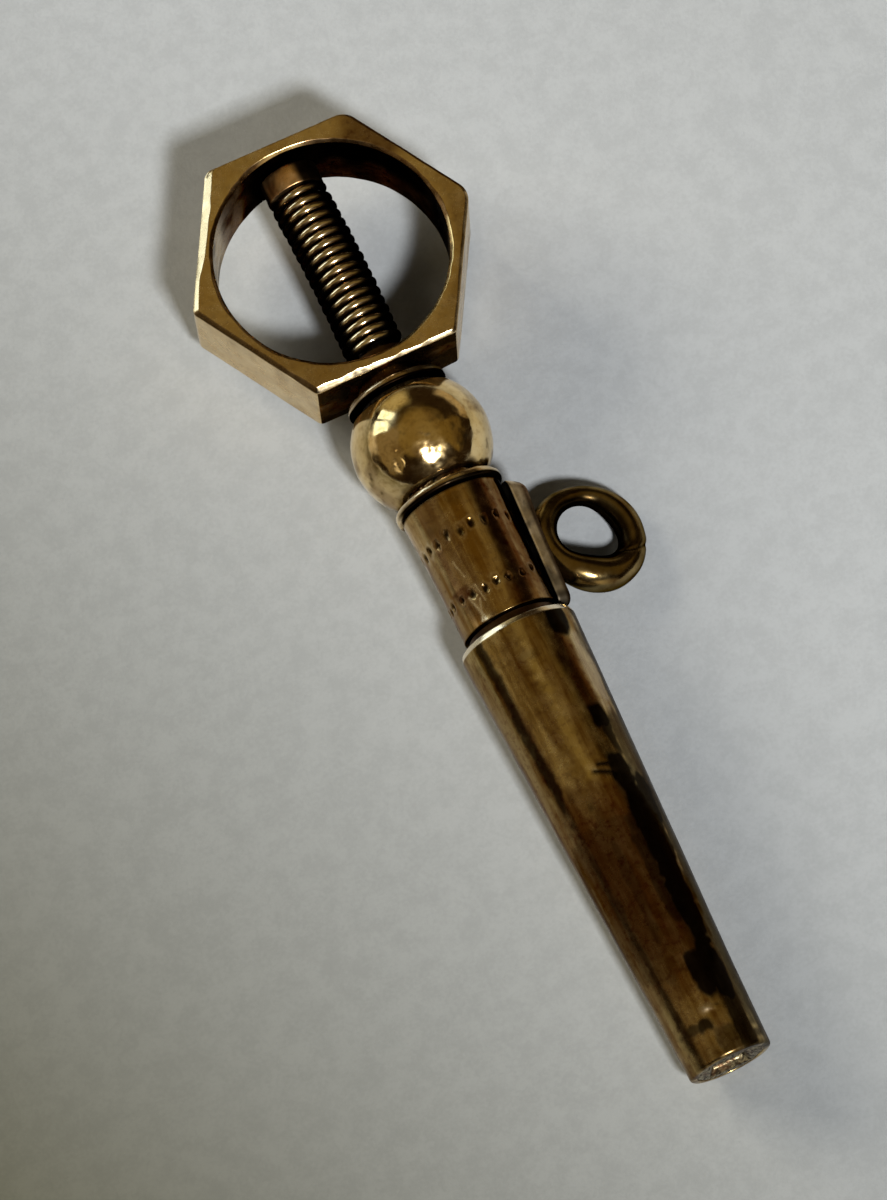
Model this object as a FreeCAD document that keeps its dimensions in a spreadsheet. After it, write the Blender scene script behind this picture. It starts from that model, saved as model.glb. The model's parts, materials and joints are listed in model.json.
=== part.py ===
import FreeCAD, Part
import math
import os

import Sketcher

# A watch key with a ratchet in its neck and a swivelling chain sleeve.
# The key lies along Y. Its socket mouth is at the origin and its bow is at +Y.
# The bow's flat faces look up and down, along +Z and -Z. Millimetres throughout.

doc = FreeCAD.newDocument("ratchet_watch_key")
sheet = doc.addObject("Spreadsheet::Sheet", "Sizes")

UP = FreeCAD.Vector(0, 0, 1)
ALONG = FreeCAD.Vector(0, 1, 0)
RING_HOOPS = 16
SLOPE_ROUNDS = 20
SPRING_POINTS = 1200
SPRING_SKIP = 4
NEAR = 0.01

DRIVING_SIZES = [
    ("overall_length", 50.0, "socket mouth to the far flat of the bow"),
    ("bow_flats", 12.7, "bow, across its flats"),
    ("bow_thickness", 4.6, "bow, front face to back face"),
    ("bow_bore", 11.4, "round opening of the bow, diameter"),
    ("bow_corner", 0.5, "radius that rounds each corner of the bow"),
    ("bow_bevel", 0.25, "bevel round the outer edges of the bow"),
    ("bore_bevel", 0.18, "bevel round the edges of the bow's opening"),
    ("collar_rim", 5.1, "collar, diameter of its rim"),
    ("collar_neck", 3.2, "collar, diameter where it meets the bow"),
    ("collar_height", 1.15, "collar, bow flat to the face over the ratchet"),
    ("collar_edge", 0.35, "collar, height of its rim's straight edge"),
    ("collar_cove", 1.32, "collar, radius of its hollow upper face"),
    ("crown_diameter", 3.94, "ratchet crowns, outer diameter"),
    ("crown_recess", 0.40, "depth of the collar's recess for its crown"),
    ("tooth_count", 12, "teeth on each ratchet crown"),
    ("tooth_height", 0.30, "height of a ratchet tooth at its outer end"),
    ("tooth_rise", 0.04, "top of the ball to the roots of its crown's teeth"),
    ("tooth_play", 0.03, "gap along the axis between meshed teeth"),
    ("tooth_turn_play", 0.5, "degrees between the upright faces of meshed teeth"),
    ("clutch_gap", 0.38, "open gap between collar and ball"),
    ("ball_diameter", 6.86, "ball, diameter"),
    ("ball_top_width", 5.22, "ball, diameter of its cut top"),
    ("ball_wall", 0.45, "thickness of the hollow ball's wall"),
    ("ball_seat_depth", 0.80, "depth of the ball's seat for its crown"),
    ("ball_foot", 3.9, "diameter where the ball meets its flange"),
    ("flange_diameter", 5.56, "flange under the ball, diameter"),
    ("flange_thickness", 0.43, "flange under the ball, thickness"),
    ("sleeve_length", 6.65, "swivel sleeve, length"),
    ("sleeve_waist", 4.82, "swivel sleeve, diameter at its waist"),
    ("sleeve_flare", 5.12, "swivel sleeve, diameter at its flared end"),
    ("sleeve_flare_start", 3.66, "swivel sleeve, lower end to where it begins to flare"),
    ("sleeve_lip", 0.27, "swivel sleeve, height of the turned-in lip at each end"),
    ("sleeve_lip_step", 0.03, "swivel sleeve, how far each lip changes its radius"),
    ("sleeve_play", 0.10, "end play of the sleeve at each end"),
    ("journal_diameter", 3.80, "tube that the sleeve turns on, diameter"),
    ("running_play", 0.03, "clearance on the radius of what turns"),
    ("washer_diameter", 4.44, "washer below the sleeve, diameter"),
    ("washer_thickness", 0.45, "washer below the sleeve, thickness"),
    ("plate_width", 3.1, "bail plate, width round the sleeve"),
    ("plate_length", 6.75, "bail plate, length"),
    ("plate_drop", 0.30, "how far the bail plate reaches below the sleeve"),
    ("plate_inner", 2.05, "bail plate, lower end of its inner face to the key's axis"),
    ("plate_thickness", 0.73, "bail plate, thickness"),
    ("plate_tilt", 3.2, "degrees that the bail plate leans out with the sleeve's flare"),
    ("plate_corner", 0.60, "bail plate, radius of its corners"),
    ("plate_soft", 0.20, "bail plate, radius that softens its outer edge"),
    ("bail_droop", 18.4, "degrees that the bail hangs below level"),
    ("ring_radius", 2.14, "bail ring, mean radius of the wire's centre line"),
    ("ring_oval", 0.09, "how far that line is drawn out slantwise"),
    ("ring_wire", 1.38, "bail ring, mean diameter of its wire"),
    ("ring_taper", 0.155, "how far the wire's radius swells and thins"),
    ("ring_reach", 5.74, "bail ring, centre to the key's axis"),
    ("ring_station", 26.56, "bail ring, centre to the socket mouth"),
    ("barrel_length", 23.0, "barrel, socket mouth to shoulder"),
    ("barrel_shoulder", 5.86, "barrel, diameter at its shoulder"),
    ("barrel_bevel", 0.20, "barrel, bevel round its shoulder"),
    ("barrel_break", 4.25, "length of the barrel's straighter end"),
    ("barrel_waist", 4.34, "barrel, diameter where that end begins"),
    ("barrel_tip", 4.12, "barrel, diameter at the tip"),
    ("tip_bevel", 0.16, "barrel, bevel round the tip"),
    ("pipe_diameter", 3.40, "steel pipe in the tip, diameter"),
    ("pipe_length", 8.0, "steel pipe in the tip, length"),
    ("socket_square", 1.6, "square socket, across its flats"),
    ("socket_depth", 6.0, "square socket, depth"),
    ("socket_lead", 0.25, "bevel round the socket's mouth"),
    ("cap_thickness", 0.8, "disc that closes the barrel, thickness"),
    ("cap_ledge", 0.10, "width of the ledge under that disc"),
    ("cap_seat", 4.60, "disc that closes the barrel, diameter"),
    ("spindle_diameter", 1.60, "spindle, diameter"),
    ("spindle_head", 2.80, "spindle, diameter of its riveted head"),
    ("spindle_head_height", 0.6, "spindle, height of its riveted head"),
    ("spindle_end", 48.8, "spindle's far end to the socket mouth"),
    ("core_diameter", 2.60, "tube inside the ball, diameter"),
    ("bush_diameter", 2.30, "bush through the bow, diameter"),
    ("seat_diameter", 3.0, "spring seat, diameter"),
    ("seat_thickness", 0.28, "spring seat, thickness"),
    ("seat_play", 0.02, "gap between the spring seat and the bush"),
    ("nut_diameter", 3.0, "spring nut, diameter"),
    ("nut_station", 47.85, "spring nut's face to the socket mouth"),
    ("nut_dome_play", 0.10, "gap between the nut's dome and the bow"),
    ("coil_mean", 2.60, "spring, mean diameter"),
    ("coil_wire", 0.36, "spring, diameter of its wire"),
    ("coil_turns", 10, "spring, turns"),
    ("coil_bend", 0.40, "spring, bend radius at each end"),
]


class Size:
    """A length with its value and the expression that the document keeps for it."""

    def __init__(self, value, text):
        self.value = value
        self.text = text

    def join(self, other, sign, value):
        text = other.text if isinstance(other, Size) else repr(other)
        return Size(value, "(" + self.text + " " + sign + " " + text + ")")

    def __add__(self, other):
        return self.join(other, "+", self.value + number(other))

    def __sub__(self, other):
        return self.join(other, "-", self.value - number(other))

    def __mul__(self, other):
        return self.join(other, "*", self.value * number(other))

    def __truediv__(self, other):
        return self.join(other, "/", self.value / number(other))


def number(size):
    return size.value if isinstance(size, Size) else float(size)


def root(size):
    return Size(math.sqrt(size.value), "sqrt(" + size.text + ")")


class Sizes:
    """The sheet's cells by their aliases."""


def fill_sheet():
    sizes = Sizes()
    for row, (alias, value, meaning) in enumerate(DRIVING_SIZES, start=1):
        sheet.set("A" + str(row), alias)
        sheet.set("B" + str(row), str(value))
        sheet.set("C" + str(row), meaning)
        sheet.setAlias("B" + str(row), alias)
        setattr(sizes, alias, Size(float(value), "Sizes." + alias))
    doc.recompute()
    return sizes


s = fill_sheet()
ZERO = Size(0.0, "0")

# stations along the key, from the socket mouth
bow_centre = s.overall_length - s.bow_flats / 2
bow_flat = s.overall_length - s.bow_flats
collar_face = bow_flat - s.collar_height
ball_top = collar_face - s.clutch_gap
collar_recess_top = collar_face + s.crown_recess
ball_radius = s.ball_diameter / 2
ball_top_radius = s.ball_top_width / 2
ball_centre = ball_top - root(ball_radius * ball_radius - ball_top_radius * ball_top_radius)
flange_top = ball_centre - root(
    ball_radius * ball_radius - s.ball_foot * s.ball_foot / 4)
flange_bottom = flange_top - s.flange_thickness
sleeve_top = flange_bottom - s.sleeve_play
sleeve_bottom = sleeve_top - s.sleeve_length
plate_bottom = sleeve_bottom - s.plate_drop
plate_room_radius = s.sleeve_waist / 2 + s.sleeve_lip_step
crown_bottom = ball_top - s.ball_seat_depth
tooth_root = ball_top + s.tooth_rise
tooth_crest = tooth_root + s.tooth_height
bush_top = bow_centre - root(
    s.bow_bore * s.bow_bore / 4 - s.seat_diameter * s.seat_diameter / 4)
seat_bottom = bush_top + s.seat_play
seat_top = seat_bottom + s.seat_thickness

subparts = []


def bind(item, prop, size):
    item.setExpression(prop, size.text)


def place_along(item, station):
    bind(item, "Placement.Base.y", station)


def turn_round_key(item, angle):
    item.Placement.Rotation = FreeCAD.Rotation(ALONG, angle.value)
    bind(item, "Placement.Rotation.Angle", angle)


def keep(item, label):
    item.Label = label
    subparts.append(item)
    return item


def new_body(name):
    return doc.addObject("PartDesign::Body", name)


def origin_feature(body, role):
    for feature in body.Origin.OriginFeatures:
        if feature.Role == role:
            return feature
    raise ValueError(role)


def new_sketch(body, name, role):
    sketch = body.newObject("Sketcher::SketchObject", name)
    sketch.AttachmentSupport = [(origin_feature(body, role), "")]
    sketch.MapMode = "FlatFace"
    return sketch


def pin_point(sketch, edge, end, across, along):
    for kind, size in (("DistanceX", across), ("DistanceY", along)):
        place = sketch.addConstraint(Sketcher.Constraint(kind, -1, 1, edge, end, size.value))
        sketch.setExpression("Constraints[" + str(place) + "]", size.text)


def draw_outline(sketch, points, arcs=()):
    """A closed outline of lines. arcs gives {edge: (radius, bulge)} for round edges."""
    arcs = dict(arcs)
    count = len(points)
    for i in range(count):
        a = FreeCAD.Vector(points[i][0].value, points[i][1].value, 0)
        b = FreeCAD.Vector(points[(i + 1) % count][0].value,
                           points[(i + 1) % count][1].value, 0)
        if i in arcs:
            radius, bulge = arcs[i]
            sketch.addGeometry(arc_between(a, b, radius.value, bulge))
        else:
            sketch.addGeometry(Part.LineSegment(a, b))
    starts = [2 if arcs.get(i, (None, 1))[1] < 0 else 1 for i in range(count)]
    for i in range(count):
        pin_point(sketch, i, starts[i], *points[i])
        after = (i + 1) % count
        sketch.addConstraint(Sketcher.Constraint(
            "Coincident", i, 3 - starts[i], after, starts[after]))
    for i, (radius, bulge) in arcs.items():
        place = sketch.addConstraint(Sketcher.Constraint("Radius", i, radius.value))
        sketch.setExpression("Constraints[" + str(place) + "]", radius.text)


def arc_between(a, b, radius, bulge):
    """The shorter arc from a to b. A positive bulge runs anticlockwise from a."""
    middle = (a + b) * 0.5
    chord = b - a
    across = FreeCAD.Vector(-chord.y, chord.x, 0).normalize()
    rise = math.sqrt(max(radius ** 2 - (chord.Length / 2) ** 2, 0.0))
    centre = middle + across * rise * bulge
    start, end = (a, b) if bulge > 0 else (b, a)
    first = math.atan2(start.y - centre.y, start.x - centre.x)
    last = math.atan2(end.y - centre.y, end.x - centre.x)
    return Part.ArcOfCircle(Part.Circle(centre, UP, radius), first, last)


def turned(name, points, arcs=()):
    """A turned piece: an outline of (radius, height) spun round the key's axis."""
    body = new_body(name)
    sketch = new_sketch(body, name + "_outline", "XY_Plane")
    draw_outline(sketch, points, arcs)
    spin = body.newObject("PartDesign::Revolution", name + "_turn")
    spin.Profile = sketch
    spin.ReferenceAxis = (sketch, ["V_Axis"])
    spin.Angle = 360
    doc.recompute()
    return body


def tube(name, inner, outer, length):
    return turned(name, [(inner, ZERO), (outer, ZERO), (outer, length), (inner, length)])


def edges_where(shape, test):
    return ["Edge" + str(i + 1) for i, edge in enumerate(shape.Edges) if test(edge)]


def check_cut(cut, before):
    """A cut that points away from the solid removes nothing and raises no error."""
    if not cut.Shape.Volume < before.Shape.Volume * (1 - 1e-6):
        raise ValueError(cut.Name + " removes nothing")


def draw_circle(sketch, diameter, construction=False):
    """A circle at the sketch's origin, bound to its diameter."""
    circle = sketch.addGeometry(
        Part.Circle(FreeCAD.Vector(), UP, diameter.value / 2), construction)
    sketch.addConstraint(Sketcher.Constraint("Coincident", circle, 3, -1, 1))
    place = sketch.addConstraint(Sketcher.Constraint("Diameter", circle, diameter.value))
    sketch.setExpression("Constraints[" + str(place) + "]", diameter.text)
    return circle


def draw_hexagon(sketch, flats):
    """A hexagon round the sketch's origin with two of its sides level."""
    reach = flats / math.sqrt(3.0)
    corners = []
    for i in range(6):
        turn = math.radians(60 * i)
        corners.append(FreeCAD.Vector(reach.value * math.cos(turn),
                                      reach.value * math.sin(turn), 0))
    for i in range(6):
        sketch.addGeometry(Part.LineSegment(corners[i], corners[(i + 1) % 6]))
    circle = draw_circle(sketch, reach * 2, True)
    for i in range(6):
        sketch.addConstraint(Sketcher.Constraint("Coincident", i, 2, (i + 1) % 6, 1))
        sketch.addConstraint(Sketcher.Constraint("PointOnObject", i, 1, circle))
        if i:
            sketch.addConstraint(Sketcher.Constraint("Equal", 0, i))
    sketch.addConstraint(Sketcher.Constraint("Horizontal", 1))


def cut_through(body, sketch, name):
    """Cuts a sketch's outline right through the body, both ways."""
    cut = body.newObject("PartDesign::Pocket", name)
    cut.Profile = sketch
    cut.Type = "ThroughAll"
    cut.Midplane = True
    doc.recompute()
    return cut


def make_bow_frame():
    """The six-sided bow: a slab with rounded corners, its round opening and bevels."""
    body = new_body("bow_frame")
    outline = new_sketch(body, "bow_outline", "XY_Plane")
    draw_hexagon(outline, s.bow_flats)
    pad = body.newObject("PartDesign::Pad", "bow_slab")
    pad.Profile = outline
    pad.Midplane = True
    bind(pad, "Length", s.bow_thickness)
    doc.recompute()

    def upright(edge):
        a, b = edge.Vertexes[0].Point, edge.Vertexes[-1].Point
        return abs(abs(a.z - b.z) - s.bow_thickness.value) < NEAR

    rounding = body.newObject("PartDesign::Fillet", "bow_corners")
    rounding.Base = (pad, edges_where(pad.Shape, upright))
    bind(rounding, "Radius", s.bow_corner)
    doc.recompute()

    opening = new_sketch(body, "bow_opening", "XY_Plane")
    draw_circle(opening, s.bow_bore)
    bore = cut_through(body, opening, "bow_bore_cut")
    check_cut(bore, rounding)

    def on_face(edge):
        flat = abs(abs(edge.BoundBox.ZMin) - s.bow_thickness.value / 2) < NEAR
        return flat and edge.BoundBox.ZLength < NEAR

    def round_edge(edge):
        return abs(edge.BoundBox.XLength - s.bow_bore.value) < NEAR

    def outer_rim(edge):
        return on_face(edge) and not round_edge(edge)

    def inner_rim(edge):
        return on_face(edge) and round_edge(edge)

    bevel = body.newObject("PartDesign::Chamfer", "bow_bevels")
    bevel.Base = (bore, edges_where(bore.Shape, outer_rim))
    bind(bevel, "Size", s.bow_bevel)
    doc.recompute()

    softened = body.newObject("PartDesign::Chamfer", "bore_bevels")
    softened.Base = (bevel, edges_where(bevel.Shape, inner_rim))
    bind(softened, "Size", s.bore_bevel)
    doc.recompute()

    hole = new_sketch(body, "bush_hole_outline", "XZ_Plane")
    draw_circle(hole, s.bush_diameter)
    cut = body.newObject("PartDesign::Pocket", "bush_hole")
    cut.Profile = hole
    cut.Type = "ThroughAll"
    cut.Reversed = True
    place_along(body, bow_centre)
    doc.recompute()
    check_cut(cut, softened)
    return keep(body, "bow_frame")


def make_bow_collar():
    """A saucer under the bow, hollow above and recessed below for its crown."""
    rim = s.collar_rim / 2
    neck = s.collar_neck / 2
    bush = s.bush_diameter / 2
    recess = s.crown_diameter / 2
    points = [(recess, ZERO), (rim, ZERO), (rim, s.collar_edge),
              (neck, s.collar_height), (bush, s.collar_height),
              (bush, s.crown_recess), (recess, s.crown_recess)]
    body = turned("bow_collar", points, {2: (s.collar_cove, -1)})
    place_along(body, collar_face)
    return keep(body, "bow_collar")


def make_bow_bush():
    hole = s.spindle_diameter / 2 + s.running_play
    body = tube("bow_bush", hole, s.bush_diameter / 2, bush_top - collar_recess_top)
    place_along(body, collar_recess_top)
    return keep(body, "bow_bush")


def make_lower_crown():
    """Twelve saw teeth on a disc: one wedge cut out and repeated round the axis."""
    outer = s.crown_diameter / 2
    bore = s.spindle_diameter / 2
    height = tooth_crest - crown_bottom
    depth = tooth_root - crown_bottom
    body = turned("ball_ratchet", [(bore, ZERO), (outer, ZERO), (outer, height), (bore, height)])
    disc = body.Tip
    pitch = 360.0 / s.tooth_count.value
    width = outer * math.sin(math.radians(pitch))
    notch = new_sketch(body, "tooth_notch", "YZ_Plane")
    draw_outline(notch, [(depth, ZERO), (height, ZERO), (height, width)])
    cut = body.newObject("PartDesign::Pocket", "tooth_gap")
    cut.Profile = notch
    cut.Type = "ThroughAll"
    doc.recompute()
    check_cut(cut, disc)
    gaps = body.newObject("PartDesign::PolarPattern", "tooth_gaps")
    gaps.Originals = [cut]
    gaps.Axis = (origin_feature(body, "Y_Axis"), [""])
    gaps.Angle = 360
    bind(gaps, "Occurrences", s.tooth_count)
    body.Tip = gaps
    place_along(body, crown_bottom)
    doc.recompute()
    check_cut(gaps, cut)
    return keep(body, "ball_ratchet")


def make_upper_crown(lower):
    """The mating crown: a plain ring, less the lower crown raised by the play."""
    raised = doc.addObject("Part::Compound", "raised_teeth")
    raised.Links = [lower]
    place_along(raised, s.tooth_play)
    turn_round_key(raised, s.tooth_turn_play)
    start = tooth_root + s.tooth_play
    blank = tube("crown_blank", s.spindle_diameter / 2 + s.running_play,
                 s.crown_diameter / 2, collar_recess_top - start)
    place_along(blank, start)
    crown = doc.addObject("Part::Cut", "bow_ratchet")
    crown.Base = blank
    crown.Tool = raised
    doc.recompute()
    return keep(crown, "bow_ratchet")


def make_ball():
    """A hollow ball, open at its foot and at the seat of its crown."""
    inside = ball_radius - s.ball_wall
    foot = s.ball_foot / 2
    core = s.core_diameter / 2
    seat = s.crown_diameter / 2
    middle = ball_centre - flange_top
    top = ball_top - flange_top
    shelf = top - s.ball_seat_depth
    shelf_reach = root(inside * inside - (shelf - middle) * (shelf - middle))
    inner_foot = middle - root(inside * inside - core * core)
    points = [(core, ZERO), (foot, ZERO), (ball_radius, middle), (ball_top_radius, top),
              (seat, top), (seat, shelf), (shelf_reach, shelf), (inside, middle),
              (core, inner_foot)]
    arcs = {1: (ball_radius, 1), 2: (ball_radius, 1), 6: (inside, -1), 7: (inside, -1)}
    body = turned("ball", points, arcs)
    place_along(body, flange_top)
    return keep(body, "ball")


def make_ball_core():
    body = tube("ball_core", s.spindle_diameter / 2, s.core_diameter / 2,
                crown_bottom - flange_top)
    place_along(body, flange_top)
    return keep(body, "ball_core")


def make_ball_flange():
    body = tube("ball_flange", s.spindle_diameter / 2, s.flange_diameter / 2,
                s.flange_thickness)
    place_along(body, flange_bottom)
    return keep(body, "ball_flange")


def make_sleeve_journal():
    body = tube("sleeve_journal", s.spindle_diameter / 2, s.journal_diameter / 2,
                flange_bottom - s.barrel_length)
    place_along(body, s.barrel_length)
    return keep(body, "sleeve_journal")


def make_sleeve_washer():
    body = tube("sleeve_washer", s.journal_diameter / 2, s.washer_diameter / 2,
                s.washer_thickness)
    place_along(body, s.barrel_length)
    return keep(body, "sleeve_washer")


def make_swivel_sleeve():
    bore = s.journal_diameter / 2 + s.running_play
    waist = s.sleeve_waist / 2
    flare = s.sleeve_flare / 2
    length = s.sleeve_length
    step = s.sleeve_lip_step
    points = [(bore, ZERO), (waist + step, ZERO), (waist, s.sleeve_lip),
              (waist, s.sleeve_flare_start), (flare, length - s.sleeve_lip),
              (flare - step, length), (bore, length)]
    body = turned("swivel_sleeve", points)
    place_along(body, sleeve_bottom)
    return keep(body, "swivel_sleeve")


def make_bail_plate(sleeve):
    """A strap along the sleeve, hollowed to fit it, that leans out with its flare."""
    half = s.plate_width / 2
    body = new_body("plate_strap")
    sketch = new_sketch(body, "plate_outline", "YZ_Plane")
    sketch.AttachmentOffset = FreeCAD.Placement(
        FreeCAD.Vector(), FreeCAD.Rotation(FreeCAD.Vector(0, -1, 0), s.plate_tilt.value))
    bind(sketch, "AttachmentOffset.Base.z", s.plate_inner)
    bind(sketch, "AttachmentOffset.Rotation.Angle", s.plate_tilt)
    draw_outline(sketch, [(ZERO, ZERO - half), (s.plate_length, ZERO - half),
                          (s.plate_length, half), (ZERO, half)])
    slab = body.newObject("PartDesign::Pad", "plate_slab")
    slab.Profile = sketch
    bind(slab, "Length", s.plate_thickness)
    doc.recompute()

    def corner(edge):
        a, b = edge.Vertexes[0].Point, edge.Vertexes[-1].Point
        return abs(abs(a.x - b.x) - s.plate_thickness.value) < NEAR

    ends = body.newObject("PartDesign::Fillet", "plate_ends")
    ends.Base = (slab, edges_where(slab.Shape, corner))
    bind(ends, "Radius", s.plate_corner)
    doc.recompute()

    outer_face = max(ends.Shape.Faces, key=lambda face: face.CenterOfMass.x)

    def outer_edge(edge):
        return any(edge.isSame(other) for other in outer_face.Edges)

    soft = body.newObject("PartDesign::Fillet", "plate_soft_edges")
    soft.Base = (ends, edges_where(ends.Shape, outer_edge))
    bind(soft, "Radius", s.plate_soft)
    place_along(body, plate_bottom)
    turn_round_key(body, s.bail_droop)
    doc.recompute()
    room = turned("plate_room", [(ZERO, ZERO), (plate_room_radius, ZERO),
                                 (plate_room_radius, s.plate_drop * 2),
                                 (ZERO, s.plate_drop * 2)])
    place_along(room, sleeve_bottom - s.plate_drop * 2)
    cleared = doc.addObject("Part::Cut", "plate_cleared")
    cleared.Base = body
    cleared.Tool = room
    plate = doc.addObject("Part::Cut", "bail_plate")
    plate.Base = cleared
    plate.Tool = sleeve
    doc.recompute()
    return keep(plate, "bail_plate")


def make_bail_ring(plate):
    """A ring of round wire, thick towards the tip and thin towards the bow, and a little oval."""
    hoops = []
    for i in range(RING_HOOPS):
        turn = 2 * math.pi * i / RING_HOOPS
        hoop = doc.addObject("Part::Circle", "ring_hoop_" + str(i))
        heading = FreeCAD.Vector(math.cos(turn), math.sin(turn), 0)
        hoop.Placement.Rotation = FreeCAD.Rotation(UP, FreeCAD.Vector(), heading, "ZXY")
        reach = s.ring_radius + s.ring_oval * math.sin(2 * turn)
        bind(hoop, "Radius", s.ring_wire / 2 + s.ring_taper * math.cos(turn))
        bind(hoop, "Placement.Base.x", s.ring_reach + reach * math.sin(turn))
        bind(hoop, "Placement.Base.y", s.ring_station - reach * math.cos(turn))
        hoops.append(hoop)
    wire = doc.addObject("Part::Loft", "ring_wire_loft")
    wire.Sections = hoops
    wire.Solid = True
    wire.Closed = True
    turn_round_key(wire, s.bail_droop)
    ring = doc.addObject("Part::Cut", "bail_ring")
    ring.Base = wire
    ring.Tool = plate
    doc.recompute()
    return keep(ring, "bail_ring")


def make_barrel_shell():
    """The hollow tapering barrel, with a straighter end and a bevelled shoulder."""
    tip = s.barrel_tip / 2
    waist = s.barrel_waist / 2
    shoulder = s.barrel_shoulder / 2
    pipe = s.pipe_diameter / 2
    seat = s.cap_seat / 2
    length = s.barrel_length
    floor = length - s.cap_thickness
    points = [(pipe, ZERO), (tip - s.tip_bevel, ZERO), (tip, s.tip_bevel),
              (waist, s.barrel_break), (shoulder, length - s.barrel_bevel),
              (shoulder - s.barrel_bevel, length), (seat, length), (seat, floor),
              (seat - s.cap_ledge, floor), (pipe, s.pipe_length)]
    body = turned("barrel_shell", points, {1: (s.tip_bevel, 1)})
    return keep(body, "barrel_shell")


def make_barrel_cap():
    body = tube("barrel_cap", s.spindle_diameter / 2, s.cap_seat / 2, s.cap_thickness)
    place_along(body, s.barrel_length - s.cap_thickness)
    return keep(body, "barrel_cap")


def make_socket_pipe():
    """The steel pipe in the tip, with the square socket that fits the winding arbor."""
    outer = s.pipe_diameter / 2
    body = turned("socket_pipe", [(ZERO, ZERO), (outer, ZERO), (outer, s.pipe_length),
                                  (ZERO, s.pipe_length)])
    rod = body.Tip
    half = s.socket_square / 2
    mouth = new_sketch(body, "socket_outline", "XZ_Plane")
    draw_outline(mouth, [(ZERO - half, ZERO - half), (half, ZERO - half), (half, half),
                         (ZERO - half, half)])
    cut = body.newObject("PartDesign::Pocket", "square_socket")
    cut.Profile = mouth
    bind(cut, "Length", s.socket_depth)
    doc.recompute()
    check_cut(cut, rod)

    def mouth_edge(edge):
        box = edge.BoundBox
        side = max(box.XLength, box.ZLength)
        return box.YMax < NEAR and abs(side - s.socket_square.value) < NEAR

    lead = body.newObject("PartDesign::Chamfer", "socket_mouth")
    lead.Base = (cut, edges_where(cut.Shape, mouth_edge))
    bind(lead, "Size", s.socket_lead)
    doc.recompute()
    return keep(body, "socket_pipe")


def make_spindle():
    rod = s.spindle_diameter / 2
    head = s.spindle_head / 2
    start = s.barrel_length - s.cap_thickness - s.spindle_head_height
    length = s.spindle_end - start
    body = turned("spindle", [(ZERO, ZERO), (head, ZERO), (head, s.spindle_head_height),
                              (rod, s.spindle_head_height), (rod, length), (ZERO, length)])
    place_along(body, start)
    return keep(body, "spindle")


def make_spring_nut():
    """The nut that holds the spring, with a domed end that clears the turning bow."""
    rod = s.spindle_diameter / 2
    side = s.nut_diameter / 2
    dome = s.bow_bore / 2 - s.nut_dome_play
    centre = bow_centre - s.nut_station
    points = [(rod, ZERO), (side, ZERO), (side, centre + root(dome * dome - side * side)),
              (ZERO, centre + dome), (ZERO, s.spindle_end - s.nut_station),
              (rod, s.spindle_end - s.nut_station)]
    body = turned("spring_nut", points, {2: (dome, 1)})
    place_along(body, s.nut_station)
    return keep(body, "spring_nut")


def make_spring_seat():
    body = tube("spring_seat", s.spindle_diameter / 2 + s.running_play,
                s.seat_diameter / 2, s.seat_thickness)
    place_along(body, seat_bottom)
    return keep(body, "spring_seat")


def arc_from(start, heading, end):
    """The circular arc that leaves start along heading and reaches end."""
    chord = end - start
    side = chord - heading * chord.dot(heading)
    side.normalize()
    radius = chord.Length ** 2 / (2 * chord.dot(side))
    centre = start + side * radius
    middle = (start + end) * 0.5 - centre
    middle.normalize()
    return Part.Arc(start, centre + middle * radius, end)


def biarc(start, heading, end, final):
    """Two arcs that join start to end and keep the headings at both."""
    chord = end - start
    both = chord.dot(heading + final)
    bend = 2 * (1 - heading.dot(final))
    reach = (-both + math.sqrt(both ** 2 + bend * chord.dot(chord))) / bend
    meeting = (start + heading * reach + end - final * reach) * 0.5
    return [arc_from(start, heading, meeting), arc_back(meeting, end, final)]


def arc_back(start, end, final):
    """The circular arc from start that reaches end along the heading final."""
    other = arc_from(end, final * -1.0, start)
    middle = other.value((other.FirstParameter + other.LastParameter) / 2)
    return Part.Arc(start, middle, end)


def make_ratchet_spring():
    """One round wire: straight feet square to the seat and the nut, and its turns."""
    mean = s.coil_mean.value / 2
    wire = s.coil_wire.value
    bend = s.coil_bend.value
    turns = int(s.coil_turns.value)
    base = seat_top.value
    length = s.nut_station.value - base
    slope = 0.0
    for _ in range(SLOPE_ROUNDS):
        rise = length - 2 * (wire + bend * math.cos(slope))
        slope = math.atan(rise / (2 * math.pi * mean * turns))
    first = base + wire + bend * math.cos(slope)

    def on_coil(turn):
        angle = 2 * math.pi * turn
        return FreeCAD.Vector(mean * math.cos(angle), first + rise * turn / turns,
                              mean * math.sin(angle))

    def level(turn):
        angle = 2 * math.pi * turn
        return FreeCAD.Vector(-math.sin(angle), 0, math.cos(angle))

    def heading(turn):
        return level(turn) * math.cos(slope) + ALONG * math.sin(slope)

    swing = bend * (1 - math.sin(slope))
    rising = bend * math.cos(slope)
    foot_top = on_coil(0) - level(0) * swing - ALONG * rising
    foot = foot_top - ALONG * wire
    head_bottom = on_coil(turns) + level(turns) * swing + ALONG * rising
    head = head_bottom + ALONG * wire
    curves = [Part.LineSegment(foot, foot_top), arc_from(foot_top, ALONG, on_coil(0))]
    for half in range(2 * turns):
        a, b = half / 2, (half + 1) / 2
        curves += biarc(on_coil(a), heading(a), on_coil(b), heading(b))
    curves += [arc_from(on_coil(turns), heading(turns), head_bottom),
               Part.LineSegment(head_bottom, head)]
    path = Part.Wire([curve.toShape() for curve in curves])
    circle = Part.Wire(Part.Circle(foot, ALONG, wire / 2).toShape())
    tube_shape = path.makePipeShell([circle], True, False)
    spring = doc.addObject("Part::Feature", "ratchet_spring")
    spring.Shape = Part.Solid(tube_shape) if tube_shape.ShapeType == "Shell" else tube_shape
    report_spring(path, wire, spring.Shape)
    return keep(spring, "ratchet_spring")


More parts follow.
